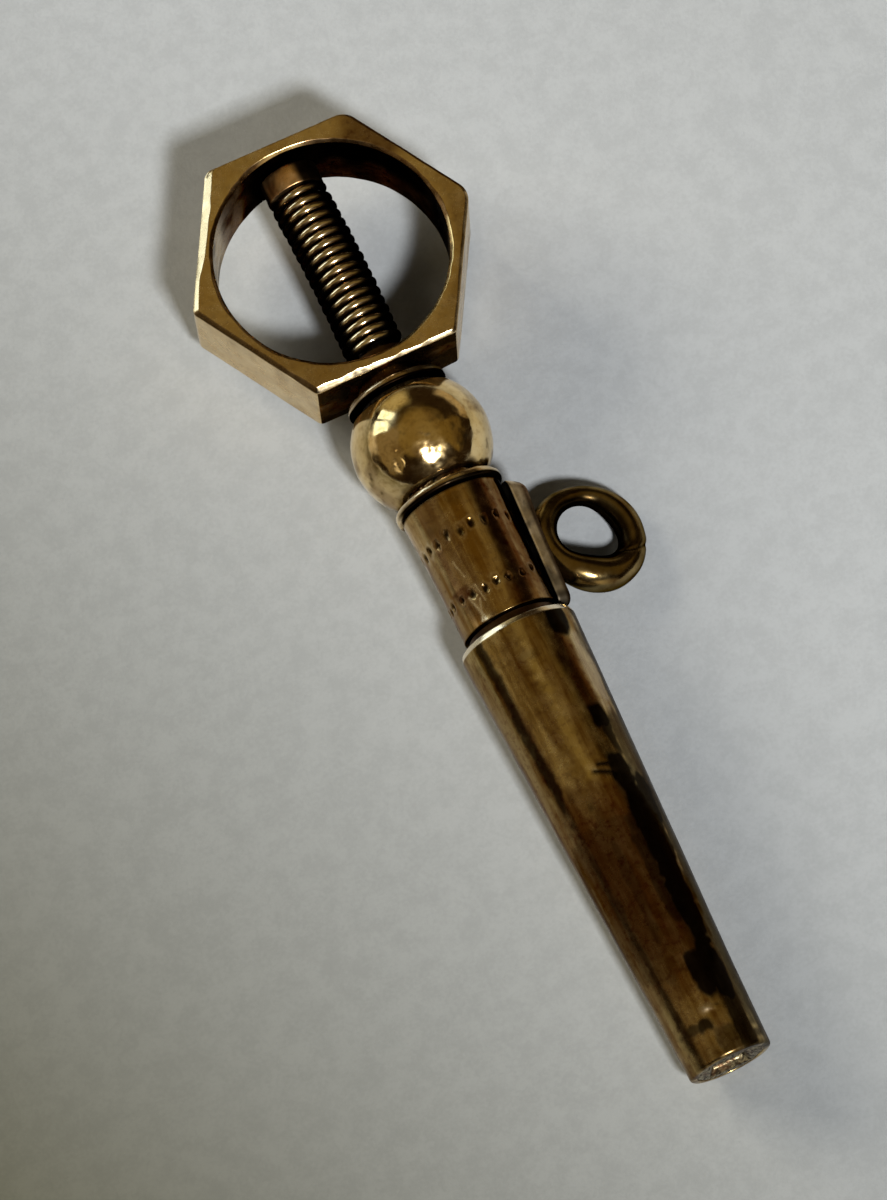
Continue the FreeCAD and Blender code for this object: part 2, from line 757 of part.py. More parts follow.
def report_spring(path, wire, shape):
    """Prints the least gap between the spring's turns, measured on points of its path."""
    points = path.discretize(Number=SPRING_POINTS)
    step = path.Length / (SPRING_POINTS - 1)
    skip = int(SPRING_SKIP * wire / step)
    least = min((a - b).Length for i, a in enumerate(points) for b in points[i + skip:])
    section = math.pi * wire ** 2 / 4
    print("spring: least gap to itself %.3f mm, length of wire %.1f mm, volume %.3f of %.3f"
          % (least - wire, path.Length, shape.Volume, section * path.Length))


def build():
    make_barrel_shell()
    make_barrel_cap()
    make_socket_pipe()
    make_spindle()
    make_sleeve_journal()
    make_sleeve_washer()
    make_ball_flange()
    make_ball()
    make_ball_core()
    lower = make_lower_crown()
    make_upper_crown(lower)
    make_bow_collar()
    make_bow_bush()
    make_bow_frame()
    make_spring_seat()
    make_ratchet_spring()
    make_spring_nut()
    sleeve = make_swivel_sleeve()
    plate = make_bail_plate(sleeve)
    make_bail_ring(plate)
    doc.recompute()


def check_and_write():
    for item in doc.Objects:
        for state in item.State:
            if state in ("Invalid", "Error"):
                raise ValueError(item.Name + " is " + state)
    for item in subparts:
        shape = item.Shape
        if shape.isNull() or not shape.isValid() or len(shape.Solids) != 1:
            raise ValueError(item.Label + " is not one sound solid")
    os.makedirs("parts", exist_ok=True)
    for item in subparts:
        item.Shape.exportStep(os.path.join("parts", item.Label + ".step"))
        box = item.Shape.BoundBox
        print("%-16s %9.3f mm3  x %.2f..%.2f  y %.2f..%.2f  z %.2f..%.2f"
              % (item.Label, item.Shape.Volume, box.XMin, box.XMax,
                 box.YMin, box.YMax, box.ZMin, box.ZMax))


build()
check_and_write()
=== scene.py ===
import json
import math

import bmesh
import bpy
import numpy as np
from mathutils import Matrix, Vector


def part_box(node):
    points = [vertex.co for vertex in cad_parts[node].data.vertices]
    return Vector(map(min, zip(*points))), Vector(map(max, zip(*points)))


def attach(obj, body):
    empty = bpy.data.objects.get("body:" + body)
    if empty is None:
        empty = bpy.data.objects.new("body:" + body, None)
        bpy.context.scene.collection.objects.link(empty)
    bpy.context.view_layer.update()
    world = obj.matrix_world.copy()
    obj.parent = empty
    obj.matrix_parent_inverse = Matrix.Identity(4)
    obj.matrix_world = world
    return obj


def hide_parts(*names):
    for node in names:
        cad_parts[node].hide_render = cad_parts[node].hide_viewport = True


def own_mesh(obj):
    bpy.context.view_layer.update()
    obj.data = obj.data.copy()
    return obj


# The looks of a ratchet watch key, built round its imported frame. The key lies along Y with its
# bow at +Y, on a sheet of paper. Shapes are worked out in millimetres. A station is a place
# along Y, and angles round the key are degrees from +Z towards +X.

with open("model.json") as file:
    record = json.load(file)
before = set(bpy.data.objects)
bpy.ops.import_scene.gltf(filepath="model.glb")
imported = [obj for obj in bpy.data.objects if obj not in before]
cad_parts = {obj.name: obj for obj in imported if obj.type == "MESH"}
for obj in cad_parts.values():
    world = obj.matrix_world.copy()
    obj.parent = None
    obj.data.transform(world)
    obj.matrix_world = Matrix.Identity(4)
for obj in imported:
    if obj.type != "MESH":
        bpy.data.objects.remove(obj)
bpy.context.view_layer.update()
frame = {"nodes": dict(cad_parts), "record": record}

MM = 0.001
TURN = 2 * math.pi
ALONG = np.array((0.0, 1.0, 0.0))


def span(node):
    """The lowest and highest corner of a CAD node, in millimetres."""
    return np.array(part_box(node)) / MM


# Corners that the frame gives

barrel_hi = span("barrel_shell")[1]
pipe_hi = span("socket_pipe")[1]
cap_lo = span("barrel_cap")[0]
sleeve_lo, sleeve_hi = span("swivel_sleeve")
flange_lo, flange_hi = span("ball_flange")
ball_lo, ball_hi = span("ball")
core_hi = span("ball_core")[1]
crown_hi = span("ball_ratchet")[1]
collar_lo, collar_hi = span("bow_collar")
bush_hi = span("bow_bush")[1]
bow_lo, bow_hi = span("bow_frame")
spring_lo, spring_hi = span("ratchet_spring")
nut_lo, nut_hi = span("spring_nut")
spindle_hi = span("spindle")[1]
BOW_CENTRE = (bow_lo[1] + bow_hi[1]) / 2
SPINDLE_RADIUS = 0.80


def put(name, data):
    """An object with this data, in the scene."""
    made = bpy.data.objects.new(name, data)
    bpy.context.scene.collection.objects.link(made)
    return made


# The camera, as the photograph was taken

VIEW_TARGET = (-2.38, 26.03, 0.0)
VIEW_DISTANCE = 245.05
VIEW_AZIMUTH = -20.47
VIEW_ELEVATION = 71.58
VIEW_ROLL = 4.917
LENS = 155.2


def make_camera():
    a, e, roll = (math.radians(angle) for angle in (VIEW_AZIMUTH, VIEW_ELEVATION, VIEW_ROLL))
    back = Vector((math.sin(a) * math.cos(e), -math.cos(a) * math.cos(e), math.sin(e)))
    level = Vector((0, 0, 1)).cross(back).normalized()
    up = back.cross(level) * math.cos(roll) + level * math.sin(roll)
    turn = Matrix((up.cross(back), up, back)).transposed().to_4x4()
    camera = put("photo_view", bpy.data.cameras.new("photo_view"))
    camera.data.lens = LENS
    camera.data.clip_start = 0.01
    camera.data.clip_end = 10.0
    place = (Vector(VIEW_TARGET) + back * VIEW_DISTANCE) * MM
    camera.matrix_world = Matrix.Translation(place) @ turn
    bpy.context.scene.camera = camera


# Noise and marks on a surface

def lattice(cells, seed):
    """A repeatable number from -1 to 1 for each whole-numbered cell."""
    mixed = np.sin(cells @ np.array((12.9898, 78.233, 37.719)) + seed * 4.1414) * 43758.5453
    return (mixed - np.floor(mixed)) * 2 - 1


def noise(points, size, seed):
    """Smooth noise from -1 to 1, in lumps about size across: one number, or one each way."""
    scaled = points / np.asarray(size, float)
    cell = np.floor(scaled)
    share = scaled - cell
    share = share * share * (3 - 2 * share)
    total = 0.0
    for corner in np.ndindex(2, 2, 2):
        weight = np.prod(np.where(corner, share, 1 - share), axis=-1)
        total = total + lattice(cell + corner, seed) * weight
    return total


def lumpy(points, *rows):
    """Noise of several sizes put together, from rows of (depth, size, seed)."""
    return sum(depth * noise(points, size, seed) for depth, size, seed in rows)


def rise_to(value, low, high):
    """0 below low and 1 above high, with a smooth step between."""
    share = np.clip((value - low) / (high - low), 0, 1)
    return share * share * (3 - 2 * share)


def near(value, middle, width):
    """1 where value is middle, falling away over width."""
    return np.exp(-((value - middle) / width) ** 2)


def top(*layers):
    """The strongest of some layers at each point."""
    return np.max(np.broadcast_arrays(*layers), axis=0)


def radius_of(points):
    return np.hypot(points[..., 0], points[..., 2])


def angle_of(points):
    """Degrees round the key, over -180 up to 180."""
    return np.degrees(np.arctan2(points[..., 0], points[..., 2]))


def angle_gap(angles, angle):
    return (angles - angle + 180) % 360 - 180


def off_angle(points, angle):
    """Degrees round the key from an angle."""
    return angle_gap(angle_of(points), angle)


def across(points, angle):
    """Millimetres round a round piece from an angle."""
    return np.radians(off_angle(points, angle)) * radius_of(points)


def mark(points, station, angle, along, around):
    """1 at a place on a round piece, falling away over its size along and around the key."""
    return near(points[..., 1], station, along) * near(across(points, angle), 0, around)


def dents(points, table):
    """How deep a table of dents is. A row is (station, angle, size along, size around, depth)."""
    return sum(depth * mark(points, *place) for *place, depth in table)


def scratch(points, start, end, width):
    """1 on a straight line between two (station, angle) places, falling away over its width."""
    y = points[..., 1] - start[0]
    x = across(points, start[1])
    run_y = end[0] - start[0]
    run_x = math.radians(end[1] - start[1]) * radius_of(points)
    share = np.clip((x * run_x + y * run_y) / (run_x ** 2 + run_y ** 2), 0, 1)
    return near(np.hypot(x - run_x * share, y - run_y * share), 0, width)


def patches(points, table, seed, soft=0.10, ragged=0.12):
    """The strongest of a table of rounded patches on a round piece, each with a ragged edge
    that is soft over a distance. A row is (first station, last station, middle angle, half
    width in degrees, share)."""
    fray = ragged * lumpy(points, (1, (0.45, 1.2, 0.45), seed), (0.7, 0.28, seed + 1))
    strongest = 0 * fray
    for first, last, middle, half, share in table:
        wide = math.radians(half) * radius_of(points)
        long = (last - first) / 2
        x = np.abs(across(points, middle)) / wide
        y = np.abs(points[..., 1] - (first + last) / 2) / long
        off = (x ** 3 + y ** 3) ** (1 / 3) - 1
        inside = 1 - rise_to(off * np.minimum(wide, long) + fray, -soft, soft)
        strongest = np.maximum(strongest, inside * share)
    return strongest


# Meshes from rows of points

SOFT_STEP = 0.06


def unit(v):
    return v / np.maximum(np.linalg.norm(v, axis=-1, keepdims=True), 1e-12)


def spokes(angle):
    """Directions square to the key, at angles in radians from +Z towards +X."""
    return np.stack([np.sin(angle), 0 * angle, np.cos(angle)], -1)


def ring_of(count):
    return np.arange(count) * TURN / count


def soften(corners, soft, runs, bend=0):
    """Rows of points round a closed line of corners. Each corner is rounded over its soft
    distance, in bend points if that is given, and each straight run after it has its own
    number of points."""
    corners = np.asarray(corners, float)
    rows = []
    for k, here in enumerate(corners):
        after = (k + 1) % len(corners)
        ahead = unit(corners[after] - here)
        start = here + unit(corners[k - 1] - here) * soft[k]
        end = here + ahead * soft[k]
        if soft[k] > 0:
            for t in np.linspace(0, 1, bend or max(4, round(soft[k] / SOFT_STEP))):
                rows.append(start * (1 - t) ** 2 + here * 2 * t * (1 - t) + end * t * t)
        else:
            rows.append(here)
        stop = corners[after] - ahead * soft[after]
        rows += [end + (stop - end) * t for t in np.linspace(0, 1, runs[k] + 2)[1:-1]]
    return np.array(rows)


def arc(centre, radius, first, last, count):
    """Corners on an arc. Angles are degrees from +Y towards the outside."""
    angles = np.radians(np.linspace(first, last, count))
    return [(centre[0] + radius * math.sin(a), centre[1] + radius * math.cos(a), 0, 0)
            for a in angles]


def add_mesh(name, points, faces, closed=True):
    mesh = bpy.data.meshes.new(name)
    mesh.from_pydata((np.asarray(points) * MM).tolist(), [], faces)
    if closed:
        shell = bmesh.new()
        shell.from_mesh(mesh)
        bmesh.ops.recalc_face_normals(shell, faces=shell.faces)
        shell.to_mesh(mesh)
        shell.free()
    mesh.shade_smooth()
    return put(name, mesh)


def skin(name, loops, wrap=True):
    """A closed mesh over rows of closed loops. If the rows don't wrap, a point closes each end."""
    rows, columns = loops.shape[:2]
    points = loops.reshape(-1, 3)
    i = np.arange(rows if wrap else rows - 1)[:, None]
    j = np.arange(columns)[None, :]
    right = (j + 1) % columns
    below = (i + 1) % rows
    faces = np.stack([i * columns + j, i * columns + right,
                      below * columns + right, below * columns + j], -1)
    faces = faces.reshape(-1, 4).tolist()
    if not wrap:
        first = len(points)
        points = np.vstack([points, loops[0].mean(0), loops[-1].mean(0)])
        last_row = (rows - 1) * columns
        for k in range(columns):
            after = (k + 1) % columns
            faces.append([first, after, k])
            faces.append([first + 1, last_row + k, last_row + after])
    return add_mesh(name, points, faces)


def turned(name, corners, around, relief):
    """A round piece: a closed outline turned round the key, from corners of (radius, station,
    soft, run), and pushed out along its own normals by relief, in millimetres."""
    table = np.array(corners, float)
    profile = soften(table[:, :2], table[:, 2], table[:, 3].astype(int))
    ahead = np.roll(profile, -1, 0) - np.roll(profile, 1, 0)
    normal = unit(np.stack([ahead[:, 1], -ahead[:, 0]], -1))
    r, y = profile.T
    if np.sum(r * np.roll(y, -1) - np.roll(r, -1) * y) < 0:
        normal = -normal

    def spin(flat):
        return flat[:, None, :1] * spokes(ring_of(around)) + flat[:, None, 1:] * ALONG

    loops = spin(profile)
    return skin(name, loops + spin(normal) * relief(loops)[..., None])


def paint(piece, **layers):
    """Keeps numbers from 0 to 1 for each vertex of a piece, for its material."""
    for name, values in layers.items():
        layer = piece.data.attributes.new(name, "FLOAT", "POINT")
        layer.data.foreach_set("value", np.clip(values, 0, 1).astype(np.float32).ravel())


def points_of(piece, what="co"):
    """The places of a piece's vertices in millimetres, or their normals."""
    flat = np.empty(len(piece.data.vertices) * 3, np.float32)
    piece.data.vertices.foreach_get(what, flat)
    flat = flat.reshape(-1, 3).astype(float)
    return flat / MM if what == "co" else flat


# Material helpers

def add(tree, kind, inputs=None, **settings):
    """A shader node with its settings, and with its inputs set or linked."""
    made = tree.nodes.new(kind)
    for key, value in settings.items():
        setattr(made, key, value)
    for key, value in (inputs or {}).items():
        socket = made.inputs[key]
        if isinstance(value, bpy.types.NodeSocket):
            tree.links.new(value, socket)
        elif socket.type == "RGBA":
            socket.default_value = (*value, 1.0)
        else:
            socket.default_value = value
    return made


def new_material(name):
    material = bpy.data.materials.new(name)
    material.use_nodes = True
    material.node_tree.nodes.clear()
    return material, material.node_tree


def in_mm(tree, scale=1.0):
    """Where a point of the object is, in millimetres, stretched by scale: one number, or
    one each way."""
    where = add(tree, "ShaderNodeTexCoord").outputs["Object"]
    factors = [share / MM for share in np.broadcast_to(scale, 3)]
    return add(tree, "ShaderNodeMapping", {"Vector": where, "Scale": factors}).outputs["Vector"]


def lumps(tree, where, scale, detail=3.0, rough=0.55):
    return add(tree, "ShaderNodeTexNoise", {
        "Vector": where, "Scale": scale, "Detail": detail, "Roughness": rough}).outputs["Fac"]


def ramp(tree, value, low, high, start=0.0, end=1.0):
    """value from low to high becomes start to end, smoothly, and is held outside."""
    return add(tree, "ShaderNodeMapRange", {
        "Value": value, "From Min": low, "From Max": high, "To Min": start, "To Max": end},
        interpolation_type="SMOOTHSTEP").outputs["Result"]


def blend(tree, share, one, other):
    """The colour one where share is 0, and other where it is 1."""
    return add(tree, "ShaderNodeMix", {0: share, 6: one, 7: other}, data_type="RGBA").outputs[2]


def times(tree, one, other):
    return add(tree, "ShaderNodeMath", {0: one, 1: other}, operation="MULTIPLY").outputs[0]


def plus(tree, one, other):
    return add(tree, "ShaderNodeMath", {0: one, 1: other}, operation="ADD").outputs[0]


def vectors(tree, operation, one, other=(0, 0, 0)):
    made = add(tree, "ShaderNodeVectorMath", {0: one, 1: other}, operation=operation)
    return made.outputs["Value" if operation == "DOT_PRODUCT" else "Vector"]


def attribute(tree, name):
    return add(tree, "ShaderNodeAttribute", attribute_name=name).outputs["Fac"]


def bump(tree, height, depth, **before):
    return add(tree, "ShaderNodeBump", {
        "Strength": 1.0, "Distance": depth * MM, "Height": height, **before}).outputs["Normal"]


def surface(tree, inputs):
    """Ends a material in one shader with these inputs."""
    shader = add(tree, "ShaderNodeBsdfPrincipled", inputs)
    add(tree, "ShaderNodeOutputMaterial", {"Surface": shader.outputs["BSDF"]})


WHITE = (1.0, 1.0, 1.0)
BLACK = (0.0, 0.0, 0.0)
GOLD = (0.90, 0.67, 0.33)
AMBER = (0.66, 0.43, 0.14)
# The painted layers blend to these: pale gold for wear and painted highlights, brown for tarnish and
# painted shade, near black for dirt and painted shade.
WORN_AND_HIGHLIGHT_GOLD = (0.95, 0.81, 0.58)
TARNISH_AND_SHADE_BROWN = (0.10, 0.021, 0.004)
DIRT_AND_SHADE_BLACK = (0.006, 0.003, 0.0015)
RUST = (0.16, 0.07, 0.03)


def gold(name, tone=GOLD, stain=AMBER, share=0.6, streak=0.55, fleck=0.3, rough=(0.14, 0.28),
         grain=2.5, grain_depth=0.0025, speck_depth=0.0012, dull_grime=0.85):
    """Worn gold. tone goes over to stain in streaks or clouds, whose lumps per millimetre
    streak gives, and takes tarnished flecks. A piece's painted layers add tarnished places
    and painted shade, dirty places and painted shade, and rubbed places and painted
    highlights. The gloss is uneven, and fine grain breaks it up."""
    material, tree = new_material(name)
    plain = in_mm(tree)
    clouds = ramp(tree, lumps(tree, in_mm(tree, streak), 1.0, 5.0, 0.62), 0.36, 0.66)
    colour = blend(tree, times(tree, clouds, share), tone, stain)
    fine = ramp(tree, lumps(tree, plain, 3.2, 5.0, 0.68), 0.46, 0.74)
    colour = blend(tree, times(tree, fine, fleck), colour, TARNISH_AND_SHADE_BROWN)
    colour = blend(tree, attribute(tree, "worn"), colour, WORN_AND_HIGHLIGHT_GOLD)
    tarnish = attribute(tree, "tarnish")
    uneven = ramp(tree, fine, 0.0, 1.0, 0.80, 1.0)
    colour = blend(tree, times(tree, tarnish, uneven), colour, TARNISH_AND_SHADE_BROWN)
    dirt_and_shade_share = attribute(tree, "grime")
    colour = blend(tree, dirt_and_shade_share, colour, DIRT_AND_SHADE_BLACK)
    dulled = plus(tree, times(tree, dirt_and_shade_share, dull_grime), times(tree, tarnish, 0.55))
    gloss = ramp(tree, lumps(tree, plain, 1.3, 4.0, 0.6), 0.3, 0.7, *rough)
    grains = bump(tree, lumps(tree, in_mm(tree, grain), 1.0, 3.0, 0.6), grain_depth)
    surface(tree, {
        "Base Color": colour, "Metallic": 1.0, "Specular Tint": blend(tree, dulled, WHITE, BLACK),
        "Roughness": plus(tree, gloss, times(tree, dirt_and_shade_share, 0.10)),
        "Normal": bump(tree, lumps(tree, plain, 14.0, 2.0, 0.5), speck_depth, Normal=grains)})
    return material


def steel(name, tone, dark, rough, pit_depth):
    """Tarnished, pitted steel."""
    material, tree = new_material(name)
    plain = in_mm(tree)
    pits = lumps(tree, plain, 5.0, 5.0, 0.65)
    colour = blend(tree, ramp(tree, pits, 0.42, 0.62), dark, tone)
    rust = ramp(tree, lumps(tree, plain, 2.0, 3.0, 0.6), 0.50, 0.72)
    surface(tree, {
        "Base Color": blend(tree, times(tree, rust, 0.6), colour, RUST), "Metallic": 1.0,
        "Roughness": ramp(tree, pits, 0.35, 0.65, rough[1], rough[0]),
        "Normal": bump(tree, pits, pit_depth)})
    return material


def finish(piece, material, body, slot, *nodes):
    piece.data.materials.append(material)
    for layer in ("grime", "tarnish", "worn"):
        if layer not in piece.data.attributes:
            paint(piece, **{layer: np.zeros(len(piece.data.vertices))})
    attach(piece, body)
    if nodes:
        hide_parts(*nodes)


# Barrel

BARREL_AROUND = 220
TIP_BEVEL = 0.16
BARREL_TIP = 2.06
BARREL_WAIST = 2.17
BARREL_BREAK = 4.25
BARREL_BEVEL = 0.30
BARREL_DROP = 0.09
BARREL_SEAT = 2.30
BARREL_LEDGE = 2.20
HAMMERING = (0.5, 4.5, 0.5)
TUBE_GRAIN = {"grain": (7.0, 0.35, 7.0), "grain_depth": 0.0022, "speck_depth": 0.0015}

# Tarnish, and painted shade: the rows at -46 and -84 degrees darken the tube where it mirrors the dark edge
# of the room and shaded paper, and the row at 70 degrees darkens its right side. The rest are tarnish.
BARREL_TARNISH_AND_SHADE = [
    (-2, 25, -46, 7, 1.0),
    (-2, 25, -84, 30, 0.62),
    (3.2, 14.4, -30, 84, 0.78),
    (5.2, 13.3, -22, 54, 0.95),
    (5, 13.6, -15, 8, 1.0),
    (5.6, 12.6, 13, 7, 1.0),
    (13, 22.9, -16, 7, 0.66),
    (13, 22.9, 10, 8, 0.55),
    (17, 21.8, 31, 10, 0.95),
    (-1, 5.6, -20, 45, 0.45),
    (-2, 25, 70, 28, 0.30),
    (3, 19, 150, 12, 0.60),
    (8, 22, -140, 9, 0.50),
]
# Dirt, and painted shade: the rows at -46 degrees, those from 29 to 80 degrees down the right side, the
# patch at 40 degrees by the shoulder, where the strap's end is mirrored, and the thin line near station 1.8
# under a dent's edge are painted shade and dark reflections. The other rows darken the tube in patches.
BARREL_DIRT_AND_SHADE = [
    (13.5, 25, -46, 5.5, 0.80),
    (-2, 14.5, -46, 6, 0.62),
    (4.2, 12.4, -25, 62, 0.35),
    (-1, 1.4, 6, 17, 0.60),
    (-1, 9.6, 50, 8, 0.80),
    (5.6, 12.8, -15, 6.5, 0.55),
    (6.4, 11.8, 13, 8, 0.75),
    (21.3, 23.1, 40, 13, 0.98),
    (16.5, 17.8, 33, 10, 0.97),
    (14.8, 17.2, 37, 7, 0.90),
    (13, 15.5, 29, 12.5, 0.97),
    (3.8, 14.6, 33, 15, 0.98),
    (11.1, 13.9, 48, 13, 0.97),
    (9.2, 12, 44, 11, 0.95),
    (2.4, 5.7, 30, 16, 0.98),
    (2.7, 5.2, 12, 15, 0.98),
    (-2, 3.2, 32, 13.5, 0.88),
    (-2, 25, 80, 18, 0.80),
    (-1, 14, 61, 10, 0.85),
    (13.4, 17.4, 54, 13, 0.70),
    (20.3, 21.8, 61, 7, 0.55),
    (1.6, 1.92, -31, 23, 0.75),
    (1.45, 2, -15, 9, 0.90),
    (2, 12, 190, 10, 0.70),
]
# A painted reflection: a lighter patch on the right where the tube mirrors lit paper.
BARREL_PAINTED_REFLECTION = [(17.4, 21.6, 51, 10, 0.3)]
BARREL_DENTS = [
    (20.6, -38, 1.1, 0.7, 0.030),
    (17.2, 22, 1.6, 0.9, 0.022),
    (15.9, 33, 1.0, 0.6, 0.028),
    (11.3, -20, 1.8, 0.8, 0.025),
    (7.9, 14, 0.9, 0.7, 0.020),
    (4.4, 12, 1.0, 0.9, 0.045),
    (0.75, -28, 0.45, 0.6, 0.025),
    (9, 130, 1.2, 1.0, 0.025),
    (16, -120, 1.5, 0.9, 0.025),
    (4.4, 210, 0.8, 0.7, 0.030),
    (2.42, -3, 0.13, 0.26, -0.040),
    (2.3, 6, 0.10, 0.20, -0.030),
    (3.3, -9, 0.70, 0.14, -0.022),
]
# Two cuts across the barrel: start, end, width, depth
BARREL_CUTS = [
    ((14.62, 2), (14.26, 22), 0.11, 0.030),
    ((14.88, 8), (14.76, 21), 0.10, 0.020),
]


def barrel_relief(points):
    rise = lumpy(points, (0.010, 3.2, 1), (0.0035, 0.9, 2), (0.008, HAMMERING, 3))
    cuts = sum(depth * scratch(points, *cut) for *cut, depth in BARREL_CUTS)
    outside = radius_of(points) >= BARREL_TIP - TIP_BEVEL * 1.2
    return outside * (rise - dents(points, BARREL_DENTS) - cuts)


def make_barrel():
    top_end, shoulder, pipe = barrel_hi[1], barrel_hi[0], pipe_hi[0]
    piece = turned("barrel_tube", [
        (pipe, 0.0, 0.04, 3),
        (BARREL_TIP, 0.0, TIP_BEVEL, 44),
        (BARREL_WAIST, BARREL_BREAK, 1.0, 210),
        (shoulder, top_end - BARREL_BEVEL, 0.08, 4),
        (shoulder - BARREL_DROP, top_end - 0.04, 0.03, 1),
        (shoulder - BARREL_DROP - 0.05, top_end, 0.02, 5),
        (BARREL_SEAT, top_end, 0.03, 4),
        (BARREL_SEAT, cap_lo[1], 0.0, 0),
        (BARREL_LEDGE, cap_lo[1], 0.0, 20),
        (pipe, pipe_hi[1], 0.2, 10),
    ], BARREL_AROUND, barrel_relief)
    points = points_of(piece)
    radius = radius_of(points)
    station = points[:, 1]
    # Darker towards the tip end, in lumps.
    darker_tip = 0.4 * np.clip(1 - station, 0, 1) * (0.5 + 0.5 * noise(points, 0.5, 6))
    spots = 0.25 * rise_to(noise(points, 0.7, 5), 0.45, 0.95)
    cuts = [scratch(points, *cut[:2], cut[2] * 1.2) for cut in BARREL_CUTS]
    grime = top(patches(points, BARREL_DIRT_AND_SHADE, 11), darker_tip, spots, *cuts)
    # Painted highlight and shade: the shoulder's bevel, the lighter patch and the specks at station 2.4 are
    # painted lighter, as highlights and reflections; the seat under the sleeve is painted black, for the
    # shade between the pieces.
    bevel = (station > top_end - BARREL_BEVEL) & (radius > shoulder - BARREL_DROP * 1.1)
    highlight_and_wear = patches(points, BARREL_PAINTED_REFLECTION, 25) + mark(points, 2.42, -3, 0.16, 0.3) + bevel
    seat = (station > top_end - 0.05) & (radius < shoulder - BARREL_DROP * 1.2)
    paint(piece, grime=top(grime * (1 - np.clip(highlight_and_wear, 0, 1)), seat), worn=highlight_and_wear,
          tarnish=patches(points, BARREL_TARNISH_AND_SHADE, 21, 0.30, 0.20) * (1 - bevel))
    look = gold("old_gold_barrel", tone=(0.71, 0.525, 0.22), stain=(0.265, 0.137, 0.019),
                share=0.95, streak=(1.5, 0.14, 1.5), fleck=0.4, rough=(0.16, 0.30),
                dull_grime=0.25, **TUBE_GRAIN)
    finish(piece, look, "barrel", "barrel_gold", "barrel_shell")


# Steel pipe with its square socket

SOCKET_SQUARE = 1.6
SOCKET_DEPTH = 6.0
SOCKET_LEAD = 0.25
SOCKET_POINT = 0.35
SOCKET_COLUMNS = 96
PIPE_PLAY = 0.005
PIPE_EDGE = 0.06
PIPE_ROUND = 0.05


def make_socket():
    radius = pipe_hi[0] - PIPE_PLAY
    compass = spokes(ring_of(SOCKET_COLUMNS))
    square = compass / np.max(np.abs(compass), -1, keepdims=True)

    def loop(share, size, station):
        """From a circle of radius size, at share 0, to a square of half width size."""
        return (compass * (1 - share) + square * share) * size + ALONG * station

    half = SOCKET_SQUARE / 2
    face = radius - PIPE_EDGE
    rows = [loop(0, radius, s) for s in np.linspace(pipe_hi[1], PIPE_EDGE, 20)]
    rows += [loop(0, radius - PIPE_ROUND * (1 - math.cos(t)), PIPE_EDGE - PIPE_ROUND * math.sin(t))
             for t in np.linspace(0.3, 1.5, 4)]
    rows += [loop(share, face + (half + SOCKET_LEAD - face) * share, 0.0)
             for share in np.linspace(0.06, 0.94, 10)]
    rows += [loop(1, half + SOCKET_LEAD * (1 - share), 0.015 + SOCKET_LEAD * share)
             for share in np.linspace(0, 1, 6)]
    rows += [loop(1, half, s) for s in np.linspace(0.4, SOCKET_DEPTH, 24)]
    rows += [loop(1, half * (1 - share), SOCKET_DEPTH + SOCKET_POINT * share)
             for share in (0.3, 0.6, 0.9)]
    loops = np.array(rows)
    pits = np.abs(lumpy(loops, (0.04, 0.40, 31), (0.02, 0.16, 32)))
    loops[..., 1] += np.where(loops[..., 1] < 0.5, pits, 0)
    look = steel("pitted_steel", (0.34, 0.28, 0.16), (0.04, 0.028, 0.015), (0.32, 0.6), 0.016)
    finish(skin("socket_end", loops, wrap=False), look, "barrel", "socket_steel", "socket_pipe")


# Swivel sleeve with its rows of punched dots, each row a station and the angles of its dots

SLEEVE_AROUND = 288
SLEEVE_BORE = 1.93
SLEEVE_WAIST = 2.41
SLEEVE_LIP = 0.27
SLEEVE_STEP = 0.03
SLEEVE_FLARE_START = 3.66
DOT_ROWS = [
    (28.15, (-73, -59, -44, -28, -12, 3, 19, 36)),
    (25.12, (-68, -48, -32, -15, 0, 15, 33, 51)),
]
DOT_PITCH = 15.5
DOT_SIZE = 0.22
DOT_DEPTH = 0.085
# Tarnish, and painted shade: the row at -74 degrees darkens the side that mirrors shaded paper, those at
# -45 and -44 the dark edge of the room, the row at -33 a highlight, and those at 31.5 and 52 the side by
# the strap. The rest are tarnish.
SLEEVE_TARNISH_AND_SHADE = [
    (23, 31, -44, 6, 0.60),
    (25.8, 28.4, -45, 6, 0.85),
    (25.4, 31, -33, 7, 0.55),
    (23, 31, -22, 4, 0.40),
    (23, 31, 31.5, 12.5, 1.0),
    (25, 25.7, -45, 14, 0.95),
    (23.2, 25.6, 17, 9, 0.80),
    (23, 28, -74, 18, 0.50),
    (23, 31, 52, 11, 0.82),
    (23, 31, 170, 12, 0.50),
    (23, 31, -130, 8, 0.40),
]
# Painted shade: the side under the strap is painted black.
SLEEVE_PAINTED_SHADE = [(22, 32, 84, 25, 0.97)]
# Scratches on the sleeve: start, end, width
SLEEVE_SCRATCHES = [
    ((25.0, -38), (24.0, -31), 0.06),
    ((24.7, -26), (23.7, -35), 0.06),
    ((24.3, -33), (23.6, -30), 0.08),
    ((25.4, -24), (24.5, -21), 0.05),
    ((26.9, -36), (26.0, -31), 0.05),
]


def sleeve_dots():
    """Every punched dot as (station, angle, size, depth): those in sight, then the rest."""
    rng = np.random.default_rng(41)
    dots = []
    for station, angles in DOT_ROWS:
        hidden = np.arange(angles[-1] + DOT_PITCH, angles[0] + 360 - DOT_PITCH / 2, DOT_PITCH)
        for angle in list(angles) + list(hidden + rng.uniform(-2.5, 2.5, len(hidden))):
            size = DOT_SIZE * rng.uniform(0.8, 1.25)
            depth = DOT_DEPTH * rng.uniform(0.7, 1.2)
            dots.append((station + rng.uniform(-0.14, 0.14), angle, size, depth))
    return dots


